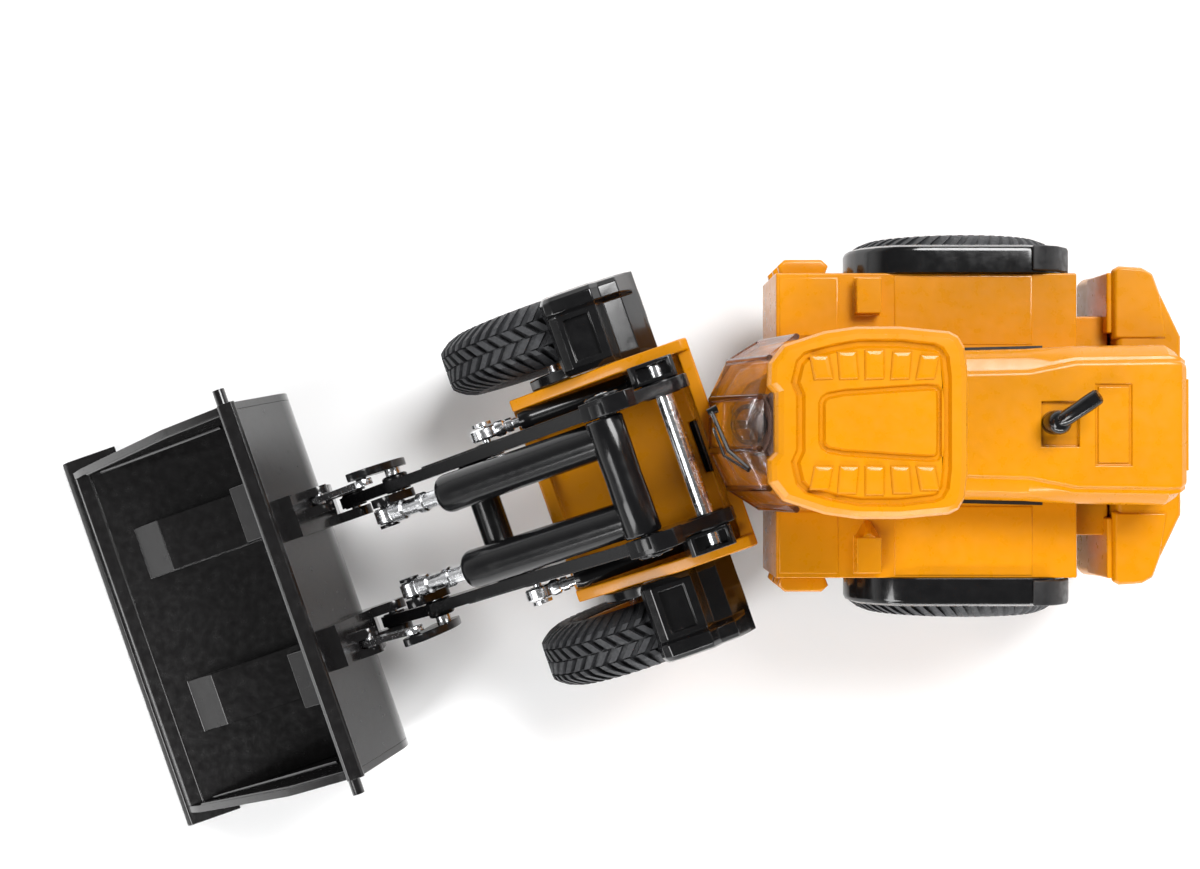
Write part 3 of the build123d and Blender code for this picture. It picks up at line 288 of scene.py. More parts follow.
def finish_piece(piece, bevel, segments=3, smooth=35):
    """Rounds the sharp edges and shades the rest smooth."""
    for polygon in piece.data.polygons:
        polygon.use_smooth = True
    if bevel:
        edges = piece.modifiers.new("rounded_edges", "BEVEL")
        edges.width = bevel * MM
        edges.segments = segments
        edges.limit_method = "ANGLE"
        edges.angle_limit = radians(smooth)
        edges.harden_normals = False
        edges.use_clamp_overlap = True
        weighted = piece.modifiers.new("weighted", "WEIGHTED_NORMAL")
        weighted.keep_sharp = True
    else:
        piece.data.set_sharp_from_angle(angle=radians(smooth))


def rounded_copy(node, bevel):
    """Stands a copy of a CAD node with rounded edges in for it."""
    bm = bmesh.new()
    bm.from_mesh(frame["nodes"][node].data)
    bmesh.ops.remove_doubles(bm, verts=bm.verts, dist=2e-6)
    bmesh.ops.dissolve_limit(bm, angle_limit=radians(1.0), verts=bm.verts, edges=bm.edges)
    mesh = bpy.data.meshes.new(f"{node}_finished")
    bm.to_mesh(mesh)
    bm.free()
    piece = bpy.data.objects.new(f"{node}_finished", mesh)
    bpy.context.scene.collection.objects.link(piece)
    finish_piece(piece, bevel, 2)
    dress(piece, SLOT_OF[node])
    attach(piece, BODY_OF[node])
    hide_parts(node)
    return piece


def pair(stem):
    return [f"{stem}_left", f"{stem}_right"]


# ---------------------------------------------------------------- drawing in millimetres
def stack(bm, contours, cap=True):
    """Skins successive contours of equally many points and caps both ends."""
    rings = [[bm.verts.new(point) for point in contour] for contour in contours]
    for low, high in zip(rings, rings[1:]):
        for i in range(len(low)):
            j = (i + 1) % len(low)
            bm.faces.new((low[i], low[j], high[j], high[i]))
    if cap:
        bm.faces.new(rings[0][::-1])
        bm.faces.new(rings[-1])


def mirrored(side):
    """Closes an outline given as points from front to back on the +Y side."""
    return list(side) + [(x, -y) for x, y in reversed(side)]


def at_height(outline, z):
    return [(x, y, z) for x, y in outline]


def slab(bm, outline, low, high):
    stack(bm, [at_height(outline, low), at_height(outline, high)])


def upright_slab(bm, outline, low_y, high_y):
    stack(bm, [[(x, y, z) for x, z in outline] for y in (low_y, high_y)])


def box(bm, low, high):
    slab(bm, [(low[0], low[1]), (high[0], low[1]), (high[0], high[1]), (low[0], high[1])], low[2], high[2])


def shrunk(outline, amount):
    """Outline drawn in by amount, corner by corner."""
    points = [Vector(p) for p in outline]
    area = sum(a.x * b.y - b.x * a.y for a, b in zip(points, points[1:] + points[:1]))
    turn = 1 if area > 0 else -1
    result = []
    for i, point in enumerate(points):
        before = (point - points[i - 1]).normalized()
        after = (points[(i + 1) % len(points)] - point).normalized()
        inward = (Vector((-before.y, before.x)) + Vector((-after.y, after.x))) * turn
        reach = amount / max(0.35, inward.length / 2)
        result.append(tuple(point + inward.normalized() * reach))
    return result


def tube(bm, path, radii, sides=28):
    """Round bar along a path whose radius changes from point to point."""
    points = [Vector(p) for p in path]
    contours = []
    for i, point in enumerate(points):
        direction = (points[min(i + 1, len(points) - 1)] - points[max(i - 1, 0)]).normalized()
        guide = Vector((0, 1, 0)) if abs(direction.y) < 0.9 else Vector((1, 0, 0))
        across = direction.cross(guide).normalized()
        over = direction.cross(across)
        contours.append([
            point + (across * cos(2 * pi * k / sides) + over * sin(2 * pi * k / sides)) * radii[i]
            for k in range(sides)])
    stack(bm, contours)


def pin(bm, x, z, steps, sides=28):
    """Stepped round bar across the half; steps are (y, radius) pairs."""
    tube(bm, [(x, y, z) for y, _ in steps], [r for _, r in steps], sides)


def ring(bm, profile, centre, sides=72):
    """Turns a closed profile of (across, out) pairs round an axle along Y."""
    rings = []
    for k in range(sides):
        angle = 2 * pi * k / sides
        rings.append([
            bm.verts.new((centre[0] + out * sin(angle), centre[1] + across, centre[2] + out * cos(angle)))
            for across, out in profile])
    for k in range(sides):
        here, there = rings[k], rings[(k + 1) % sides]
        for i in range(len(profile)):
            j = (i + 1) % len(profile)
            bm.faces.new((here[i], here[j], there[j], there[i]))


def carve(piece, half, cutters):
    """Cuts boxes, given as corner pairs in the half's millimetres, out of a piece."""
    for low, high in cutters:
        bm = bmesh.new()
        box(bm, low, high)
        bmesh.ops.recalc_face_normals(bm, faces=bm.faces)
        bmesh.ops.transform(bm, matrix=half, verts=bm.verts)
        mesh = bpy.data.meshes.new("cutter")
        bm.to_mesh(mesh)
        bm.free()
        cutter = bpy.data.objects.new("cutter", mesh)
        bpy.context.scene.collection.objects.link(cutter)
        cut = piece.modifiers.new("cut", "BOOLEAN")
        cut.operation = "DIFFERENCE"
        cut.object = cutter
        cut.solver = "EXACT"
        bpy.context.view_layer.update()
        graph = bpy.context.evaluated_depsgraph_get()
        result = bpy.data.meshes.new_from_object(piece.evaluated_get(graph))
        piece.modifiers.remove(cut)
        piece.data = result
        bpy.data.objects.remove(cutter)
        bpy.data.meshes.remove(mesh)


# ---------------------------------------------------------------- wheels
def wheel(name, half, body):
    for side, label in ((1, "left"), (-1, "right")):
        low, high = local_box(f"{name}_tyre_{label}")
        radius, width = (high.x - low.x) / 2, high.y - low.y
        centre = ((low.x + high.x) / 2, (low.y + high.y) / 2, (low.z + high.z) / 2)
        edge = width / 2

        bm = bmesh.new()
        shoulder = [(edge - 0.8, 9.2), (edge - 0.3, 9.7), (edge - 0.15, 10.3), (edge - 0.5, 10.5),
                    (edge - 0.1, 10.9), (edge, 11.7), (edge - 0.15, 12.6), (edge - 0.6, 13.6),
                    (edge - 1.3, radius - 1.6), (edge - 2.4, radius - 1.0)]
        profile = shoulder + [(0, radius - 0.9)] + [(-across, out) for across, out in reversed(shoulder)]
        ring(bm, profile, centre)

        def lug(across, slope, phase, wide, tops, depth):
            contours = []
            for u, top in zip(across, tops):
                middle = phase + slope * abs(u)
                corners = ((-wide, top - depth), (-0.8 * wide, top), (0.8 * wide, top), (wide, top - depth))
                contours.append([
                    (centre[0] + out * sin(middle + offset), centre[1] + u,
                     centre[2] + out * cos(middle + offset))
                    for offset, out in corners])
            stack(bm, contours)

        shoulders, blocks = 50, 44
        for hand in (1, -1):
            for k in range(shoulders):
                phase = 2 * pi * (k + (hand < 0) * 0.5) / shoulders
                lug([hand * u for u in (2.1, 2.9, edge - 1.3, edge - 0.6, edge - 0.1)], -0.055, phase,
                    0.034, (radius, radius - 0.1, radius - 0.7, radius - 1.7, radius - 3.0), 0.9)
            for k in range(blocks):
                phase = 2 * pi * (k + (hand < 0) * 0.5) / blocks
                lug([hand * u for u in (0.12, 1.0, 1.9)], 0.06, phase, 0.046, (radius,) * 3, 0.9)
        piece_from(f"{name}_tread_{label}", bm, half, body, "tyre_rubber",
                   replaces=(f"{name}_tyre_{label}",))

        bm = bmesh.new()
        face = side * (edge - 1.4)
        outer = [(1.2 * side, 0.2), (face, 0.2), (face, 3.0), (face - 0.5 * side, 3.5), (1.7 * side, 4.2),
                 (1.3 * side, 6.9), (2.2 * side, 7.4), (side * (edge - 1.1), 8.1),
                 (side * (edge - 0.75), 8.3), (side * (edge - 0.75), 8.9), (side * (edge - 1.0), 9.25)]
        inner = [(-side * (edge - 1.0), 9.25), (-side * (edge - 1.0), 7.9), (-side, 6.8), (-side, 0.2)]
        ring(bm, outer + inner, centre, 56)
        bolts, bolt_circle = 8, 5.5
        for k in range(bolts):
            angle = 2 * pi * k / bolts
            spot = (centre[0] + bolt_circle * sin(angle), centre[2] + bolt_circle * cos(angle))
            start = centre[1] + 1.2 * side
            pin(bm, *spot, [(start, 0.62), (start + 0.75 * side, 0.62), (start + 1.05 * side, 0.35)], 6)
        piece_from(f"{name}_wheel_{label}", bm, half, body, "rim_yellow", 0.12, 2, (f"{name}_rim_{label}",))


wheel("rear", REAR, "rear_wheels")
wheel("front", FRONT, "front_wheels")


# ---------------------------------------------------------------- roof and hood
def roof():
    low, high = local_box("cab_roof")
    top = high.z
    side = [(1.6, 3.7), (2.5, 4.7), (2.4, 7.6), (0.6, 9.9), (-4.6, 11.6), (-8.7, 12.2), (-14.2, 12.2),
            (-20.4, 11.6), (-21.6, 11.0), (-22.4, 9.6), (-22.8, 6.4)]
    outline = mirrored(side)
    bm = bmesh.new()
    groove = mirrored([(-0.9, 3.4), (-0.2, 5.0), (-0.9, 7.9), (-2.0, 9.0), (-5.6, 10.0), (-9.0, 10.6),
                       (-14.2, 10.6), (-18.6, 10.1), (-19.6, 9.6), (-20.3, 8.4), (-20.6, 5.8)])
    plateau = mirrored([(-3.7, 1.6), (-3.7, 2.5), (-4.0, 3.3), (-4.8, 3.9), (-7.0, 4.3), (-10.0, 4.5),
                        (-14.2, 4.8), (-17.6, 5.0), (-18.9, 4.9), (-19.5, 4.2), (-19.6, 2.6)])
    stack(bm, [at_height(shrunk(outline, 0.5), low.z), at_height(outline, low.z + 0.7),
               at_height(outline, top - 1.3), at_height(shrunk(outline, 0.35), top - 0.5),
               at_height(shrunk(outline, 1.0), top - 0.1), at_height(groove, top - 0.05),
               at_height(shrunk(groove, 0.35), top - 0.75), at_height(shrunk(groove, 0.85), top - 0.75),
               at_height(shrunk(groove, 1.25), top - 0.15), at_height(plateau, top - 0.15),
               at_height(shrunk(plateau, 0.3), top - 0.65), at_height(shrunk(plateau, 0.65), top - 0.65),
               at_height(shrunk(plateau, 1.0), top - 0.05)])
    for hand in (1, -1):
        for k in range(5):
            x = -3.2 - 3.2 * k
            slant = 0.3 * (2 - k)
            outer = (8.5, 9.0, 9.2, 9.0, 8.6)[k]
            rib = [(x + slant, hand * outer), (x - 2.45 + slant, hand * outer), (x - 2.45, hand * 5.5),
                   (x, hand * 5.4)]
            stack(bm, [at_height(rib, top - 0.4), at_height(rib, top - 0.02),
                       at_height(shrunk(rib, 0.2), top + 0.2), at_height(shrunk(rib, 0.6), top + 0.3)])
    piece_from("roof_shell", bm, REAR, "rear_frame", "body_yellow", 0.16, 3, ("cab_roof",), smooth=14)


def hood():
    low, high = local_box("engine_hood")
    top = high.z
    stations = ((high.x, 10.4, 7.0, 0.0), (-36.0, 10.7, 7.3, 0.0), (-39.0, 10.9, 7.9, 0.0),
                (-42.5, 11.1, 8.6, 0.0), (-50.0, 11.2, 8.7, 0.0), (-55.6, 11.3, 8.8, 0.1),
                (-57.2, 10.3, 8.7, 0.35), (low.x, 8.9, 8.2, 1.3))
    contours = []
    for x, half, ridge, drop in stations:
        edge = [(half, low.z), (half, top - 3.4), (half - 0.35, top - 2.3), (half - 1.2, top - 1.3),
                (ridge + 0.9, top - 0.75), (ridge + 0.25, top - 0.62), (ridge, top - 0.15),
                (ridge - 0.5, top)]
        section = [(y, z - (drop if z > low.z else 0)) for y, z in edge]
        section += [(-y, z) for y, z in reversed(section)]
        contours.append([(x, y, z) for y, z in section])
    bm = bmesh.new()
    stack(bm, contours)
    piece = piece_from("hood_shell", bm, REAR, "rear_frame", "body_yellow", 0.0, 3, ("engine_hood",),
                       smooth=50)
    exhaust_recess = ((-42.9, -3.25, top - 0.7), (-37.6, 3.05, top + 1))
    panel_recess = ((-50.2, -5.7, top - 0.35), (-45.1, 5.7, top + 1))
    carve(piece, REAR, [exhaust_recess, panel_recess])
    finish_piece(piece, 0.16, 3, 24)
    # panel in the hood's top and the bars of the grille at its rear
    bm = bmesh.new()
    panel = [(-49.8, -5.3), (-45.5, -5.3), (-45.5, 5.3), (-49.8, 5.3)]
    stack(bm, [at_height(panel, top - 0.5), at_height(panel, top - 0.12),
               at_height(shrunk(panel, 0.15), top - 0.04)])
    for k in range(7):
        z = low.z + 1.3 + 1.15 * k
        box(bm, (low.x - 0.25, -6.4, z), (low.x + 0.4, 6.4, z + 0.55))
    piece_from("hood_panels", bm, REAR, "rear_frame", "body_yellow", 0.08, 2)


def exhaust():
    base_z = local_box("exhaust_stack")[0].z
    x, y = -39.4, -0.3
    bm = bmesh.new()
    tube(bm, [(x, y, base_z + rise) for rise in (0, 3.6, 4.3, 4.6)], (1.7, 1.7, 1.35, 0.7))
    bend = [Vector((x + 0.3 - 0.9 * d, y + 0.2 - 0.66 * d, base_z + rise)) for d, rise in (
        (0, 3.0), (0.5, 3.7), (1.5, 4.4), (2.7, 4.8), (4.5, 5.3), (5.6, 5.6), (5.85, 5.65), (5.5, 5.55),
        (4.6, 5.3))]
    tube(bm, bend, (1.0, 1.1, 1.12, 1.12, 1.16, 1.1, 0.85, 0.72, 0.7))
    piece_from("exhaust_pipe", bm, REAR, "rear_frame", "black_gloss", replaces=("exhaust_stack",),
               smooth=60)


roof()
hood()
exhaust()


# ---------------------------------------------------------------- rear half
def rear_details():
    bm = bmesh.new()
    for side in (1, -1):
        # raised cover plates, whose edges draw the seams of the deck
        plates = (((-10.6, 12.4), (-2.0, 12.4), (-2.0, 21.4), (-10.6, 21.4)),
                  ((-38.6, 11.6), (-18.6, 11.6), (-18.6, 21.7), (-38.6, 21.7)))
        for plate in plates:
            outline = [(x, side * y) for x, y in plate]
            stack(bm, [at_height(outline, DECK_Z - 0.3), at_height(outline, DECK_Z + 0.05),
                       at_height(shrunk(outline, 0.35), DECK_Z + 0.16)])
        # steps on the outer side of the front boxes
        for z in (13.0, 21.0, 29.0):
            step = [(-2.6, side * 21.9), (-9.0, side * 21.9), (-9.6, side * 23.4), (-8.6, side * 24.3),
                    (-3.2, side * 24.3), (-2.2, side * 23.4)]
            stack(bm, [at_height(step, z), at_height(step, z + 1.4), at_height(shrunk(step, 0.5), z + 1.7)])
    # gusset of the block on the left
    foot = at_height([(-14.3, 13.6), (-15.1, 13.6), (-16.6, 16.2), (-12.8, 16.2)], DECK_Z)
    head = (at_height([(-14.5, 15.4), (-14.9, 15.4)], DECK_Z + 2.1)
            + at_height([(-15.9, 16.2), (-13.5, 16.2)], DECK_Z + 2.3))
    stack(bm, [foot, head])
    piece_from("deck_details", bm, REAR, "rear_frame", "body_yellow", 0.14, 2)
    # dark strip laid flush in the gap between the deck and the hood: painted shade of the gap
    bm = bmesh.new()
    for side in (1, -1):
        gap = [(-23.4, side * 10.3), (-40.0, side * 10.9), (-40.0, side * 11.5), (-23.4, side * 11.1)]
        slab(bm, gap, DECK_Z - 0.2, DECK_Z + 0.07)
    piece_from("deck_gap_painted_shade", bm, REAR, "rear_frame", "black_satin")


def counterweight_details():
    low, high = local_box("counterweight")
    bm = bmesh.new()
    for side in (1, -1):
        wing = [(high.x + 0.1, side * 12.4), (high.x + 0.1, side * 22.6), (high.x - 0.9, side * 23.1),
                (high.x - 4.2, side * 22.9), (high.x - 5.8, side * 22.0), (high.x - 6.9, side * 19.0),
                (high.x - 8.0, side * 12.4)]
        wing = [(min(x, high.x), y) for x, y in wing]
        inner = shrunk(wing, 0.55)
        stack(bm, [at_height(wing, high.z - 1.4), at_height(wing, high.z - 0.4),
                   at_height(shrunk(wing, 0.3), high.z + 0.15), at_height(inner, high.z + 0.3)])
        # block that stands before the wing
        box(bm, (high.x - 0.1, side * 17.8 - 4.4, high.z - 12.0),
            (high.x + 0.75, side * 17.8 + 4.4, high.z - 0.6))
        # slats at the rear
        for k in range(3):
            z = low.z + 4.5 + 3.4 * k
            box(bm, (low.x + 0.15, side * 7.6 - 2.4, z), (low.x + 0.9, side * 7.6 + 2.4, z + 1.6))
    piece_from("counterweight_wings", bm, REAR, "rear_frame", "body_yellow", 0.28, 3)


def rear_fender(side, label):
    inner, outer = 22.0, 26.1
    top = [(-44.8, 25.2), (-44.7, 28.6), (-43.9, 31.2), (-42.2, 33.6), (-40.2, 35.0), (-37.6, 35.5),
           (-22.0, 35.5), (-18.6, 35.1), (-16.2, 33.6), (-13.8, 30.8), (-12.7, 27.8), (-12.5, 24.4)]
    bm = bmesh.new()
    contours = []
    for x, z in top:
        angle = atan2(x - REAR_AXLE_X, z - AXLE_Z)
        foot = (REAR_AXLE_X + ARCH_RADIUS * sin(angle), AXLE_Z + ARCH_RADIUS * cos(angle))
        away = Vector((x - foot[0], z - foot[1]))
        drop = min(0.9, 0.45 * away.length)
        unit = away.normalized()
        contours.append([
            (foot[0], side * inner, foot[1]), (foot[0], side * outer, foot[1]),
            (x - unit.x * (drop + 0.5), side * outer, z - unit.y * (drop + 0.5)),
            (x - unit.x * 0.35, side * (outer - 0.35), z - unit.y * 0.35), (x, side * (outer - 1.0), z),
            (x, side * inner, z)])
    stack(bm, contours)
    piece_from(f"rear_mudguard_{label}", bm, REAR, "rear_frame", "black_gloss", 0.25, 3,
               (f"rear_fender_{label}",), smooth=30)
    bm = bmesh.new()
    tail = [(-45.2, 24.6), (-45.2, 28.6), (-44.3, 31.6), (-42.5, 34.1), (-40.4, 35.5), (-38.4, 35.85),
            (-38.4, 35.3), (-43.2, 31.0), (-44.2, 24.6)]
    upright_slab(bm, tail, side * 22.3, side * 25.95)
    piece_from(f"rear_mudflap_{label}", bm, REAR, "rear_frame", "black_satin", 0.25, 2)


rear_details()
counterweight_details()
rear_fender(1, "left")
rear_fender(-1, "right")


# ---------------------------------------------------------------- cab
def cab_inside():
    floor_z = local_box("cab_floor")[1].z
    bm = bmesh.new()
    tub = mirrored([(7.4, 2.6), (4.4, 7.2), (0.8, 9.6), (-20.4, 9.6)])
    well = mirrored([(5.4, 2.2), (3.2, 5.6), (0.2, 7.4), (-19.0, 7.4)])
    stack(bm, [at_height(tub, floor_z), at_height(tub, floor_z + 4.2),
               at_height(shrunk(tub, 0.6), floor_z + 4.8), at_height(well, floor_z + 4.6),
               at_height(shrunk(well, 0.4), floor_z + 0.6)])
    piece_from("cab_tub", bm, REAR, "rear_frame", "body_yellow", 0.15, 2)
    # console seen through the windscreen
    bm = bmesh.new()
    dome = [[(2.6 - 2.4 * k / 6, y * sqrt(max(0.02, 1 - (k / 6.5) ** 2)),
              floor_z + 0.5 + 7.0 * sin(pi / 2 * k / 6))
             for y in (-4.4, -4.0, -2.6, 0, 2.6, 4.0, 4.4)] for k in range(7)]
    for row, contour in enumerate(dome):
        back = [(x - 3.2 + 0.3 * row, y, floor_z + 0.5) for x, y, _ in reversed(contour)]
        dome[row] = contour + back
    stack(bm, dome)
    piece_from("cab_console", bm, REAR, "rear_frame", "seat_grey", 0.2, 2)


def wiper():
    """Two arms that lie across the nose and up the left facet."""
    foot, bend, tip = Vector((8.5, -1.8, 47.5)), Vector((6.7, 3.7, 57.0)), Vector((4.4, 5.9, 62.4))
    bm = bmesh.new()
    tube(bm, [foot, bend, tip], (0.32, 0.3, 0.24), 12)
    tube(bm, [Vector((8.2, 0.6, 48.0)), Vector((7.2, 4.3, 55.0)), tip + Vector((0.1, 0.3, -0.6))],
         (0.22, 0.22, 0.2), 12)
    tube(bm, [foot + Vector((-0.8, -0.4, 0)), foot + Vector((0.5, 0.2, 0))], (0.6, 0.5), 14)
    piece_from("wiper_arms", bm, REAR, "rear_frame", "black_gloss", replaces=("wiper",), smooth=50)


def glass_edges():
    """Thick moulded edges of the glazing, which catch the light; their dark brown tint is painted shade for the
    darkening of thick clear edges.
    """
    nose = local_box("cab_glazing")[1].x
    low = [(nose, 3.8), (5.8, 9.1), (1.5, 11.8)]
    high = [(nose - 4.7, 3.55), (2.36, 8.6), (-1.1, 11.3)]
    base_z, roof_z = local_box("cab_floor")[1].z, local_box("cab_roof")[0].z
    bm = bmesh.new()
    for hand in (1, -1):
        for (x0, y0), (x1, y1) in zip(low, high):
            foot = (x0 - GLASS_EDGE_INSET, hand * (y0 - 0.2), base_z + 0.2)
            head = (x1 - GLASS_EDGE_INSET, hand * (y1 - 0.2), roof_z - 0.1)
            tube(bm, [foot, head], (0.5, 0.42), 12)
        rim = [(x - GLASS_EDGE_INSET, hand * (y - 0.2), base_z + 0.35) for x, y in low]
        tube(bm, rim, (0.45,) * 3, 12)
    tube(bm, [(nose - GLASS_EDGE_INSET, y, base_z + 0.35) for y in (-3.6, 3.6)], (0.45,) * 2, 12)
    piece = piece_from("glass_edges", bm, REAR, "rear_frame", "clear_glass", smooth=60)
    # the edges take the darker tint, which is painted shade
    dress(piece, "clear_glass", "glass_edge_painted_shade")


def steering():
    bm = bmesh.new()
    centre = Vector((3.3, 0, 47.4))
    lean = Matrix.Rotation(radians(-25), 3, "Y")
    rim_radius, grip, around, across = 2.5, 0.34, 36, 10
    rim = []
    for k in range(around):
        angle = 2 * pi * k / around
        section = []
        for i in range(across):
            t = 2 * pi * i / across
            out = rim_radius + grip * cos(t)
            section.append(centre + lean @ Vector((out * cos(angle), out * sin(angle), grip * sin(t))))
        rim.append(section)
    stack(bm, rim + rim[:1], cap=False)
    for spoke in (0, 120, 240):
        reach = lean @ Vector((2.4 * cos(radians(spoke)), 2.4 * sin(radians(spoke)), 0))
        tube(bm, [centre, centre + reach], (0.35, 0.25), 10)
    tube(bm, [(5.2, 0, 39.2), (5.0, 0, 43.6), centre, centre + lean @ Vector((0, 0, 0.5))],
         (1.0, 0.7, 0.55, 0.5), 14)
    piece_from("steering_rim", bm, REAR, "rear_frame", "black_satin", replaces=("steering_wheel",),
               smooth=50)


cab_inside()
wiper()
glass_edges()
steering()


# ---------------------------------------------------------------- front half
def front_fender(side, label):
    nose, back = 25.2, 10.6
    # (y, how far in from the nose, top at the front, top at the back) from the body outwards
    sections = ((15.9, 0.7, 34.6, 32.2), (16.8, 0.2, 35.3, 32.8), (24.6, 0.2, 35.3, 32.8),
                (25.2, 0.0, 35.9, 34.6), (26.9, 0.1, 35.9, 34.6), (27.6, 0.5, 35.3, 34.0),
                (27.9, 1.3, 34.2, 32.8))
    contours = []
    for y, inset, front_top, back_top in sections:
        outline = [(nose - inset, 33.6), (nose - inset - 0.5, front_top - 0.7),
                   (nose - inset - 1.6, front_top), (17.4, front_top), (16.2, back_top),
                   (13.4, back_top - 0.8), (back + 0.9, 29.9), (back, 28.6), (back, 24.3)]
        for angle in (-61, -53, -44, -34, -24, -14, -5):
            outline.append((FRONT_AXLE_X + ARCH_RADIUS * sin(radians(angle)),
                            AXLE_Z + ARCH_RADIUS * cos(radians(angle))))
        contours.append([(x, side * y, z) for x, z in outline])
    bm = bmesh.new()
    stack(bm, contours)
    piece = piece_from(f"front_mudguard_{label}", bm, FRONT, "front_frame", "black_gloss",
                       replaces=(f"front_fender_{label}",))
    y_low, y_high = sorted((side * 17.6, side * 23.8))
    carve(piece, FRONT, [((18.7, y_low, 34.4), (22.6, y_high, 37.0))])
    finish_piece(piece, 0.35, 3, 26)
    bm = bmesh.new()
    flange = [(24.0, 33.6), (26.4, 32.6), (28.6, 30.2), (30.2, 26.4), (30.2, 23.5), (24.0, 23.5)]
    upright_slab(bm, flange, side * 15.85, side * 17.5)
    piece_from(f"front_flange_{label}", bm, FRONT, "front_frame", "black_gloss", 0.3, 3)


def bracket(side, label):
    low, high = local_box(f"pivot_bracket_{label}")
    bm = bmesh.new()
    inner, outer = 10.95, 14.0
    outline = [(low.x, 31.5), (low.x, 43.0), (low.x + 0.5, 43.5), (high.x - 1.1, 43.5),
               (high.x - 0.6, 43.0), (high.x, 40.0), (high.x, 34.5), (high.x - 3.2, 31.5)]
    upright_slab(bm, outline, side * inner, side * outer)
    piece = piece_from(f"shaft_bracket_{label}", bm, FRONT, "front_frame", "black_gloss",
                       replaces=(f"pivot_bracket_{label}",))
    y_low, y_high = sorted((side * (inner + 0.6), side * (outer - 0.55)))
    carve(piece, FRONT, [((low.x + 0.8, y_low, 42.0), (high.x - 1.6, y_high, 45.0))])
    finish_piece(piece, 0.2, 3, 30)
    bm = bmesh.new()
    pin(bm, PIVOT.x, PIVOT.z, [(side * 13.2, 1.9), (side * 13.75, 1.9), (side * 13.95, 1.5)], 20)
    piece_from(f"shaft_head_{label}", bm, FRONT, "front_frame", "black_gloss", 0.1, 2)


for hand, side_label in ((1, "left"), (-1, "right")):
    front_fender(hand, side_label)
    bracket(hand, side_label)


def boom_bosses():
    lift_eye = Vector((39.0, 0, 27.5))
    bosses = ((PIVOT, 2.7, 0.25), (YOKE, 2.6, 1.0), (lift_eye, 2.0, 0.25), (CRANK, 2.0, 0.5),
              (BUCKET_PIN, 1.8, 0.2))
    head_y = 11.5
    bm = bmesh.new()
    for side in (1, -1):
        for spot, radius, out in bosses:
            pin(bm, spot.x, spot.z, [(side * 10.5, radius), (side * (10.6 + out), radius),
                                     (side * (10.8 + out), radius - 0.3)])
            pin(bm, spot.x, spot.z, [(side * 9.1, radius), (side * 8.75, radius - 0.1)])
        # ear beside the cross tube, rounded end at the pivot and web along the arm
        ear = [(YOKE.x - 4.6, YOKE.z + 1.2), (YOKE.x - 3.2, YOKE.z + 3.1), (YOKE.x - 0.6, YOKE.z + 3.3),
               (YOKE.x + 1.4, YOKE.z + 2.6), (YOKE.x + 3.6, YOKE.z + 0.9), (YOKE.x + 3.4, YOKE.z - 1.2),
               (YOKE.x - 4.2, YOKE.z - 1.6)]
        upright_slab(bm, ear, side * 8.8, side * 11.3)
        end = [(PIVOT.x + 3.0, PIVOT.z + 2.3), (PIVOT.x - 2.2, PIVOT.z + 2.5),
               (PIVOT.x - 3.5, PIVOT.z + 1.8), (PIVOT.x - 4.0, PIVOT.z), (PIVOT.x - 3.5, PIVOT.z - 1.8),
               (PIVOT.x - 2.2, PIVOT.z - 2.5), (PIVOT.x + 3.0, PIVOT.z - 2.3)]
        upright_slab(bm, end, side * 8.9, side * 10.85)
        web = [(YOKE.x + 2.4, YOKE.z - 2.2), (46.0, 24.9), (50.0, 22.3), (49.6, 21.4), (44.0, 23.4),
               (YOKE.x + 1.0, YOKE.z - 4.4)]
        upright_slab(bm, web, side * 10.5, side * 10.95)
    piece_from("boom_bosses", bm, FRONT, "boom", "black_arm", 0.28, 3)
    bm = bmesh.new()
    for side in (1, -1):
        for spot, radius in ((YOKE, 1.0), (CRANK, 0.9)):
            pin(bm, spot.x, spot.z, [(side * head_y, radius), (side * (head_y + 0.35), radius),
                                     (side * (head_y + 0.5), radius - 0.3)], 20)
    piece_from("boom_pin_heads", bm, FRONT, "boom", "steel", 0.06, 2)


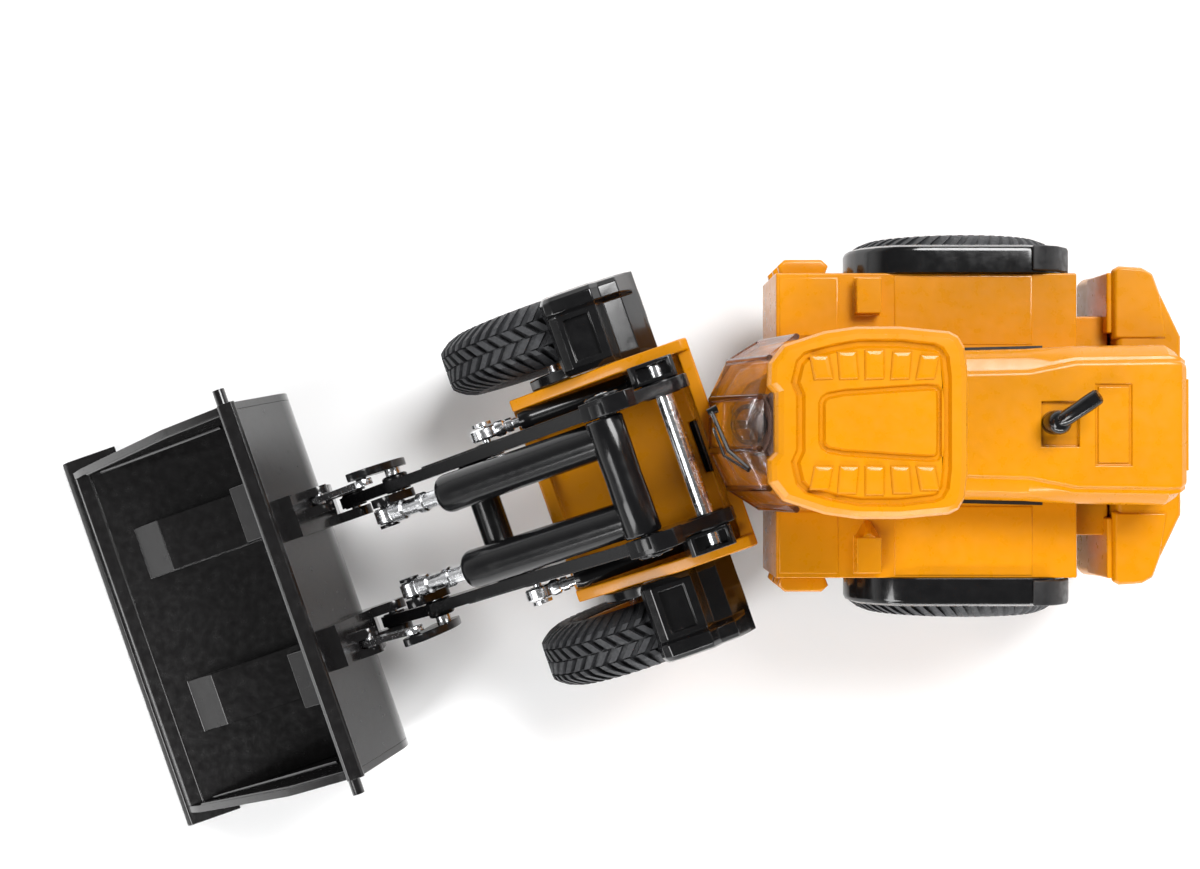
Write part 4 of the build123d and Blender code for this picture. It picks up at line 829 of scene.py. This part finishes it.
def cylinders():
    # the marks are (distance from the base, radius) pairs along a cylinder
    along = (LIFT_EYE - LIFT_BASE).normalized()
    for side, label in ((1, "left"), (-1, "right")):
        y = side * LIFT_CYLINDER_Y
        base = Vector((LIFT_BASE.x, y, LIFT_BASE.z))
        bm = bmesh.new()
        marks = ((1.5, 1.2), (2.3, 1.38), (17.4, 1.42), (17.6, 1.5), (18.6, 1.5), (18.9, 1.42),
                 (19.4, 1.25), (19.5, 0.95))
        tube(bm, [base + along * d for d, _ in marks], [r for _, r in marks])
        pin(bm, base.x, base.z, [(y - 1.15, 1.5), (y - 0.9, 1.8), (y + 0.9, 1.8), (y + 1.15, 1.5)])
        piece_from(f"lift_tube_{label}", bm, FRONT, "lift_barrels", "black_arm", 0.0, 2,
                   (f"lift_barrel_{label}",), smooth=50)
        bm = bmesh.new()
        end = Vector((LIFT_EYE.x, y, LIFT_EYE.z))
        length = (end - base).length
        marks = ((6.0, 0.8), (length - 4.6, 0.8), (length - 4.5, 1.05), (length - 3.6, 1.05),
                 (length - 3.4, 0.85), (length - 3.1, 1.15), (length - 2.2, 1.2), (length - 1.6, 0.9))
        tube(bm, [base + along * d for d, _ in marks], [r for _, r in marks])
        profile = [(-0.9, 1.1), (-0.9, 1.7), (-0.65, 2.0), (0.65, 2.0), (0.9, 1.7), (0.9, 1.1)]
        ring(bm, profile, (end.x, y, end.z), 36)
        piece_from(f"lift_eye_{label}", bm, FRONT, "lift_rods", "steel", 0.0, 2, (f"lift_rod_{label}",),
                   smooth=35)

    pin_low, pin_high = local_box("tilt_rod_left")
    eye_radius = 1.9
    eye = Vector((pin_high.x - eye_radius, 0, pin_low.z + eye_radius))
    along_tilt = (TILT_EYE - YOKE).normalized()
    bm = bmesh.new()
    for side in (1, -1):
        base = Vector((YOKE.x, side * TILT_CYLINDER_Y, YOKE.z))
        marks = ((0.0, 2.5), (1.6, 2.62), (3.0, 2.66), (27.3, 2.82), (29.4, 2.86), (29.9, 2.8), (30.3, 2.6),
                 (30.5, 2.3), (30.5, 1.5), (30.0, 1.35))
        tube(bm, [base + along_tilt * d for d, _ in marks], [r for _, r in marks], 40)
    marks = ((-8.6, 1.3), (-8.6, 2.5), (-8.2, 2.75), (-3.2, 2.7), (0, 2.62), (3.2, 2.7), (8.2, 2.75),
             (8.6, 2.5), (8.6, 1.3))
    pin(bm, YOKE.x + CROSS_TUBE_AHEAD, YOKE.z, marks, 40)
    pin(bm, YOKE.x, YOKE.z, [(-10.6, 1.3), (10.6, 1.3)], 24)
    piece_from("tilt_barrels", bm, FRONT, "tilt_yoke", "black_arm", 0.0, 2, ("tilt_yoke",), smooth=60)
    for side, label in ((1, "left"), (-1, "right")):
        y = side * TILT_CYLINDER_Y
        base, end = Vector((YOKE.x, y, YOKE.z)), Vector((eye.x, y, eye.z))
        length = (end - base).length
        marks = ((14.0, 1.2), (30.4, 1.2), (30.5, 1.55), (31.3, 1.55), (31.5, 1.2), (33.8, 1.2),
                 (34.0, 1.5), (35.0, 1.5), (35.3, 1.15), (length - 3.8, 1.15), (length - 3.5, 1.5),
                 (length - 1.6, 1.55), (length - 1.4, 1.0))
        bm = bmesh.new()
        tube(bm, [base + along_tilt * d for d, _ in marks], [r for _, r in marks], 32)
        profile = [(-1.2, 1.0), (-1.2, 1.55), (-0.9, 1.9), (0.9, 1.9), (1.2, 1.55), (1.2, 1.0)]
        ring(bm, profile, (end.x, y, end.z), 36)
        piece_from(f"tilt_eye_{label}", bm, FRONT, "tilt_rods", "steel", 0.0, 2, (f"tilt_rod_{label}",),
                   smooth=35)


def bucket_details():
    bm = bmesh.new()
    crown_x, crown_z = 72.5, 30.0
    cheek_y = 28.0

    def wall(z, depth):
        """X of a surface that lies depth in front of the bucket's leaning back."""
        return crown_x - (crown_z - z) * sin(BUCKET_LEAN) / cos(BUCKET_LEAN) + depth / cos(BUCKET_LEAN)

    for side in (1, -1):
        # bead along the cheek's upper edge, and a thinner one below it on the inside
        tube(bm, [(x, side * cheek_y, z) for x, z in ((74.6, 28.4), (84.3, 23.3), (102.0, 5.6))],
             (0.42,) * 3, 14)
        tube(bm, [(75.6, side * 26.3, 26.6), (84.0, side * 26.6, 20.2), (100.4, side * 27.6, 3.4)],
             (0.3,) * 3, 14)
    # beads that frame the mouth, behind the lip and under the top bar
    for x, z, radius in ((102.6, 2.1, 0.28), (wall(27.9, 1.5), 27.9, 0.35)):
        tube(bm, [(x, -cheek_y, z), (x, cheek_y, z)], (radius,) * 2, 14)
    upright_slab(bm, [(71.9, 30.3), (72.3, 30.75), (74.2, 30.75), (74.6, 30.3), (74.6, 29.9), (71.9, 29.9)],
                 -29.1, 29.1)
    piece_from("bucket_edges", bm, FRONT, "bucket", "black_bucket", 0.12, 2)


boom_bosses()
cylinders()
bucket_details()


# ---------------------------------------------------------------- CAD pieces with softened edges
EDGE_ROUNDING = {
    "rear_body": 0.55, "counterweight": 0.5, "cab_floor": 0.3, "front_body": 0.35, "rear_chassis": 0.3,
    "front_keel": 0.2, "bucket": 0.22, "cutting_edge": 0.15, "seat": 0.8, "boom_cross_beam": 0.3,
}
for stem, width in (("boom_arm", 0.35), ("lever_crank", 0.25), ("tilt_lever", 0.3), ("tilt_link", 0.25),
                    ("bucket_bracket", 0.25), ("bucket_cheek", 0.25)):
    for each in pair(stem):
        EDGE_ROUNDING[each] = width
for each, width in EDGE_ROUNDING.items():
    rounded_copy(each, width)
REPLACED = set(EDGE_ROUNDING) | set(REDRAWN)
for each, thing in frame["nodes"].items():
    if each not in REPLACED:
        dress(thing, SLOT_OF[each])


# ---------------------------------------------------------------- floor, light and camera
def area_light(name, place, size, power, target=(0, 0, 0.02)):
    light = bpy.data.lights.new(name, "AREA")
    light.shape = "RECTANGLE"
    light.size, light.size_y = size
    light.energy = power
    thing = bpy.data.objects.new(name, light)
    bpy.context.scene.collection.objects.link(thing)
    thing.location = place
    thing.rotation_euler = (Vector(target) - Vector(place)).to_track_quat("-Z", "Y").to_euler()
    return thing


def floor():
    finish = Finish("floor_paper", (0.97, 0.97, 0.975), 0.8)
    finish.colour(finish.noise(0.02, 2), (0.3, (0.965, 0.965, 0.97)), (0.7, (0.985, 0.985, 0.985)))
    bpy.ops.mesh.primitive_plane_add(size=8.0, location=(0, 0, CAD_BOX[0][2] - 0.0002))
    sheet = bpy.context.object
    sheet.name = "floor"
    sheet.data.materials.append(finish.material)


def studio():
    """White walls round the table and a dark ceiling, so that flat tops stay deep in colour."""
    world = bpy.data.worlds.new("studio")
    bpy.context.scene.world = world
    world.use_nodes = True
    nodes, links = world.node_tree.nodes, world.node_tree.links
    direction = nodes.new("ShaderNodeTexCoord")
    split = nodes.new("ShaderNodeSeparateXYZ")
    ramp = nodes.new("ShaderNodeValToRGB")
    ramp.color_ramp.elements[0].position = 0.12
    ramp.color_ramp.elements[0].color = (0.95, 0.95, 0.95, 1)
    ramp.color_ramp.elements[1].position = 0.5
    ramp.color_ramp.elements[1].color = (0.11, 0.11, 0.11, 1)
    links.new(direction.outputs["Generated"], split.inputs["Vector"])
    links.new(split.outputs["Z"], ramp.inputs["Fac"])
    links.new(ramp.outputs["Color"], nodes["Background"].inputs["Color"])
    nodes["Background"].inputs["Strength"].default_value = 1.0


floor()
area_light("key", (-0.30, -0.45, 0.70), (0.45, 0.35), 9)
area_light("fill", (0.5, 0.4, 0.7), (0.45, 0.45), 5.5)
area_light("strip", (0.0, 0.7, 0.35), (0.9, 0.08), 4)
studio()

# the camera looks down on the toy; its place is in metres from the pin and the ground
LENS_HEIGHT = 0.310
AHEAD_OF_PIN = 0.0238
LEFT_OF_PIN = 0.0028
FOCAL_LENGTH = 57.3
CAMERA_TILT = radians(0.31)
camera_data = bpy.data.cameras.new("camera")
camera_data.sensor_width = 36
camera_data.lens = FOCAL_LENGTH
camera_data.clip_start = 0.01
camera = bpy.data.objects.new("camera", camera_data)
bpy.context.scene.collection.objects.link(camera)
camera.location = (PIN.x + AHEAD_OF_PIN, PIN.y + LEFT_OF_PIN, LENS_HEIGHT)
camera.rotation_euler = (CAMERA_TILT, 0, pi)
bpy.context.scene.camera = camera
bpy.context.scene.view_settings.view_transform = "Standard"
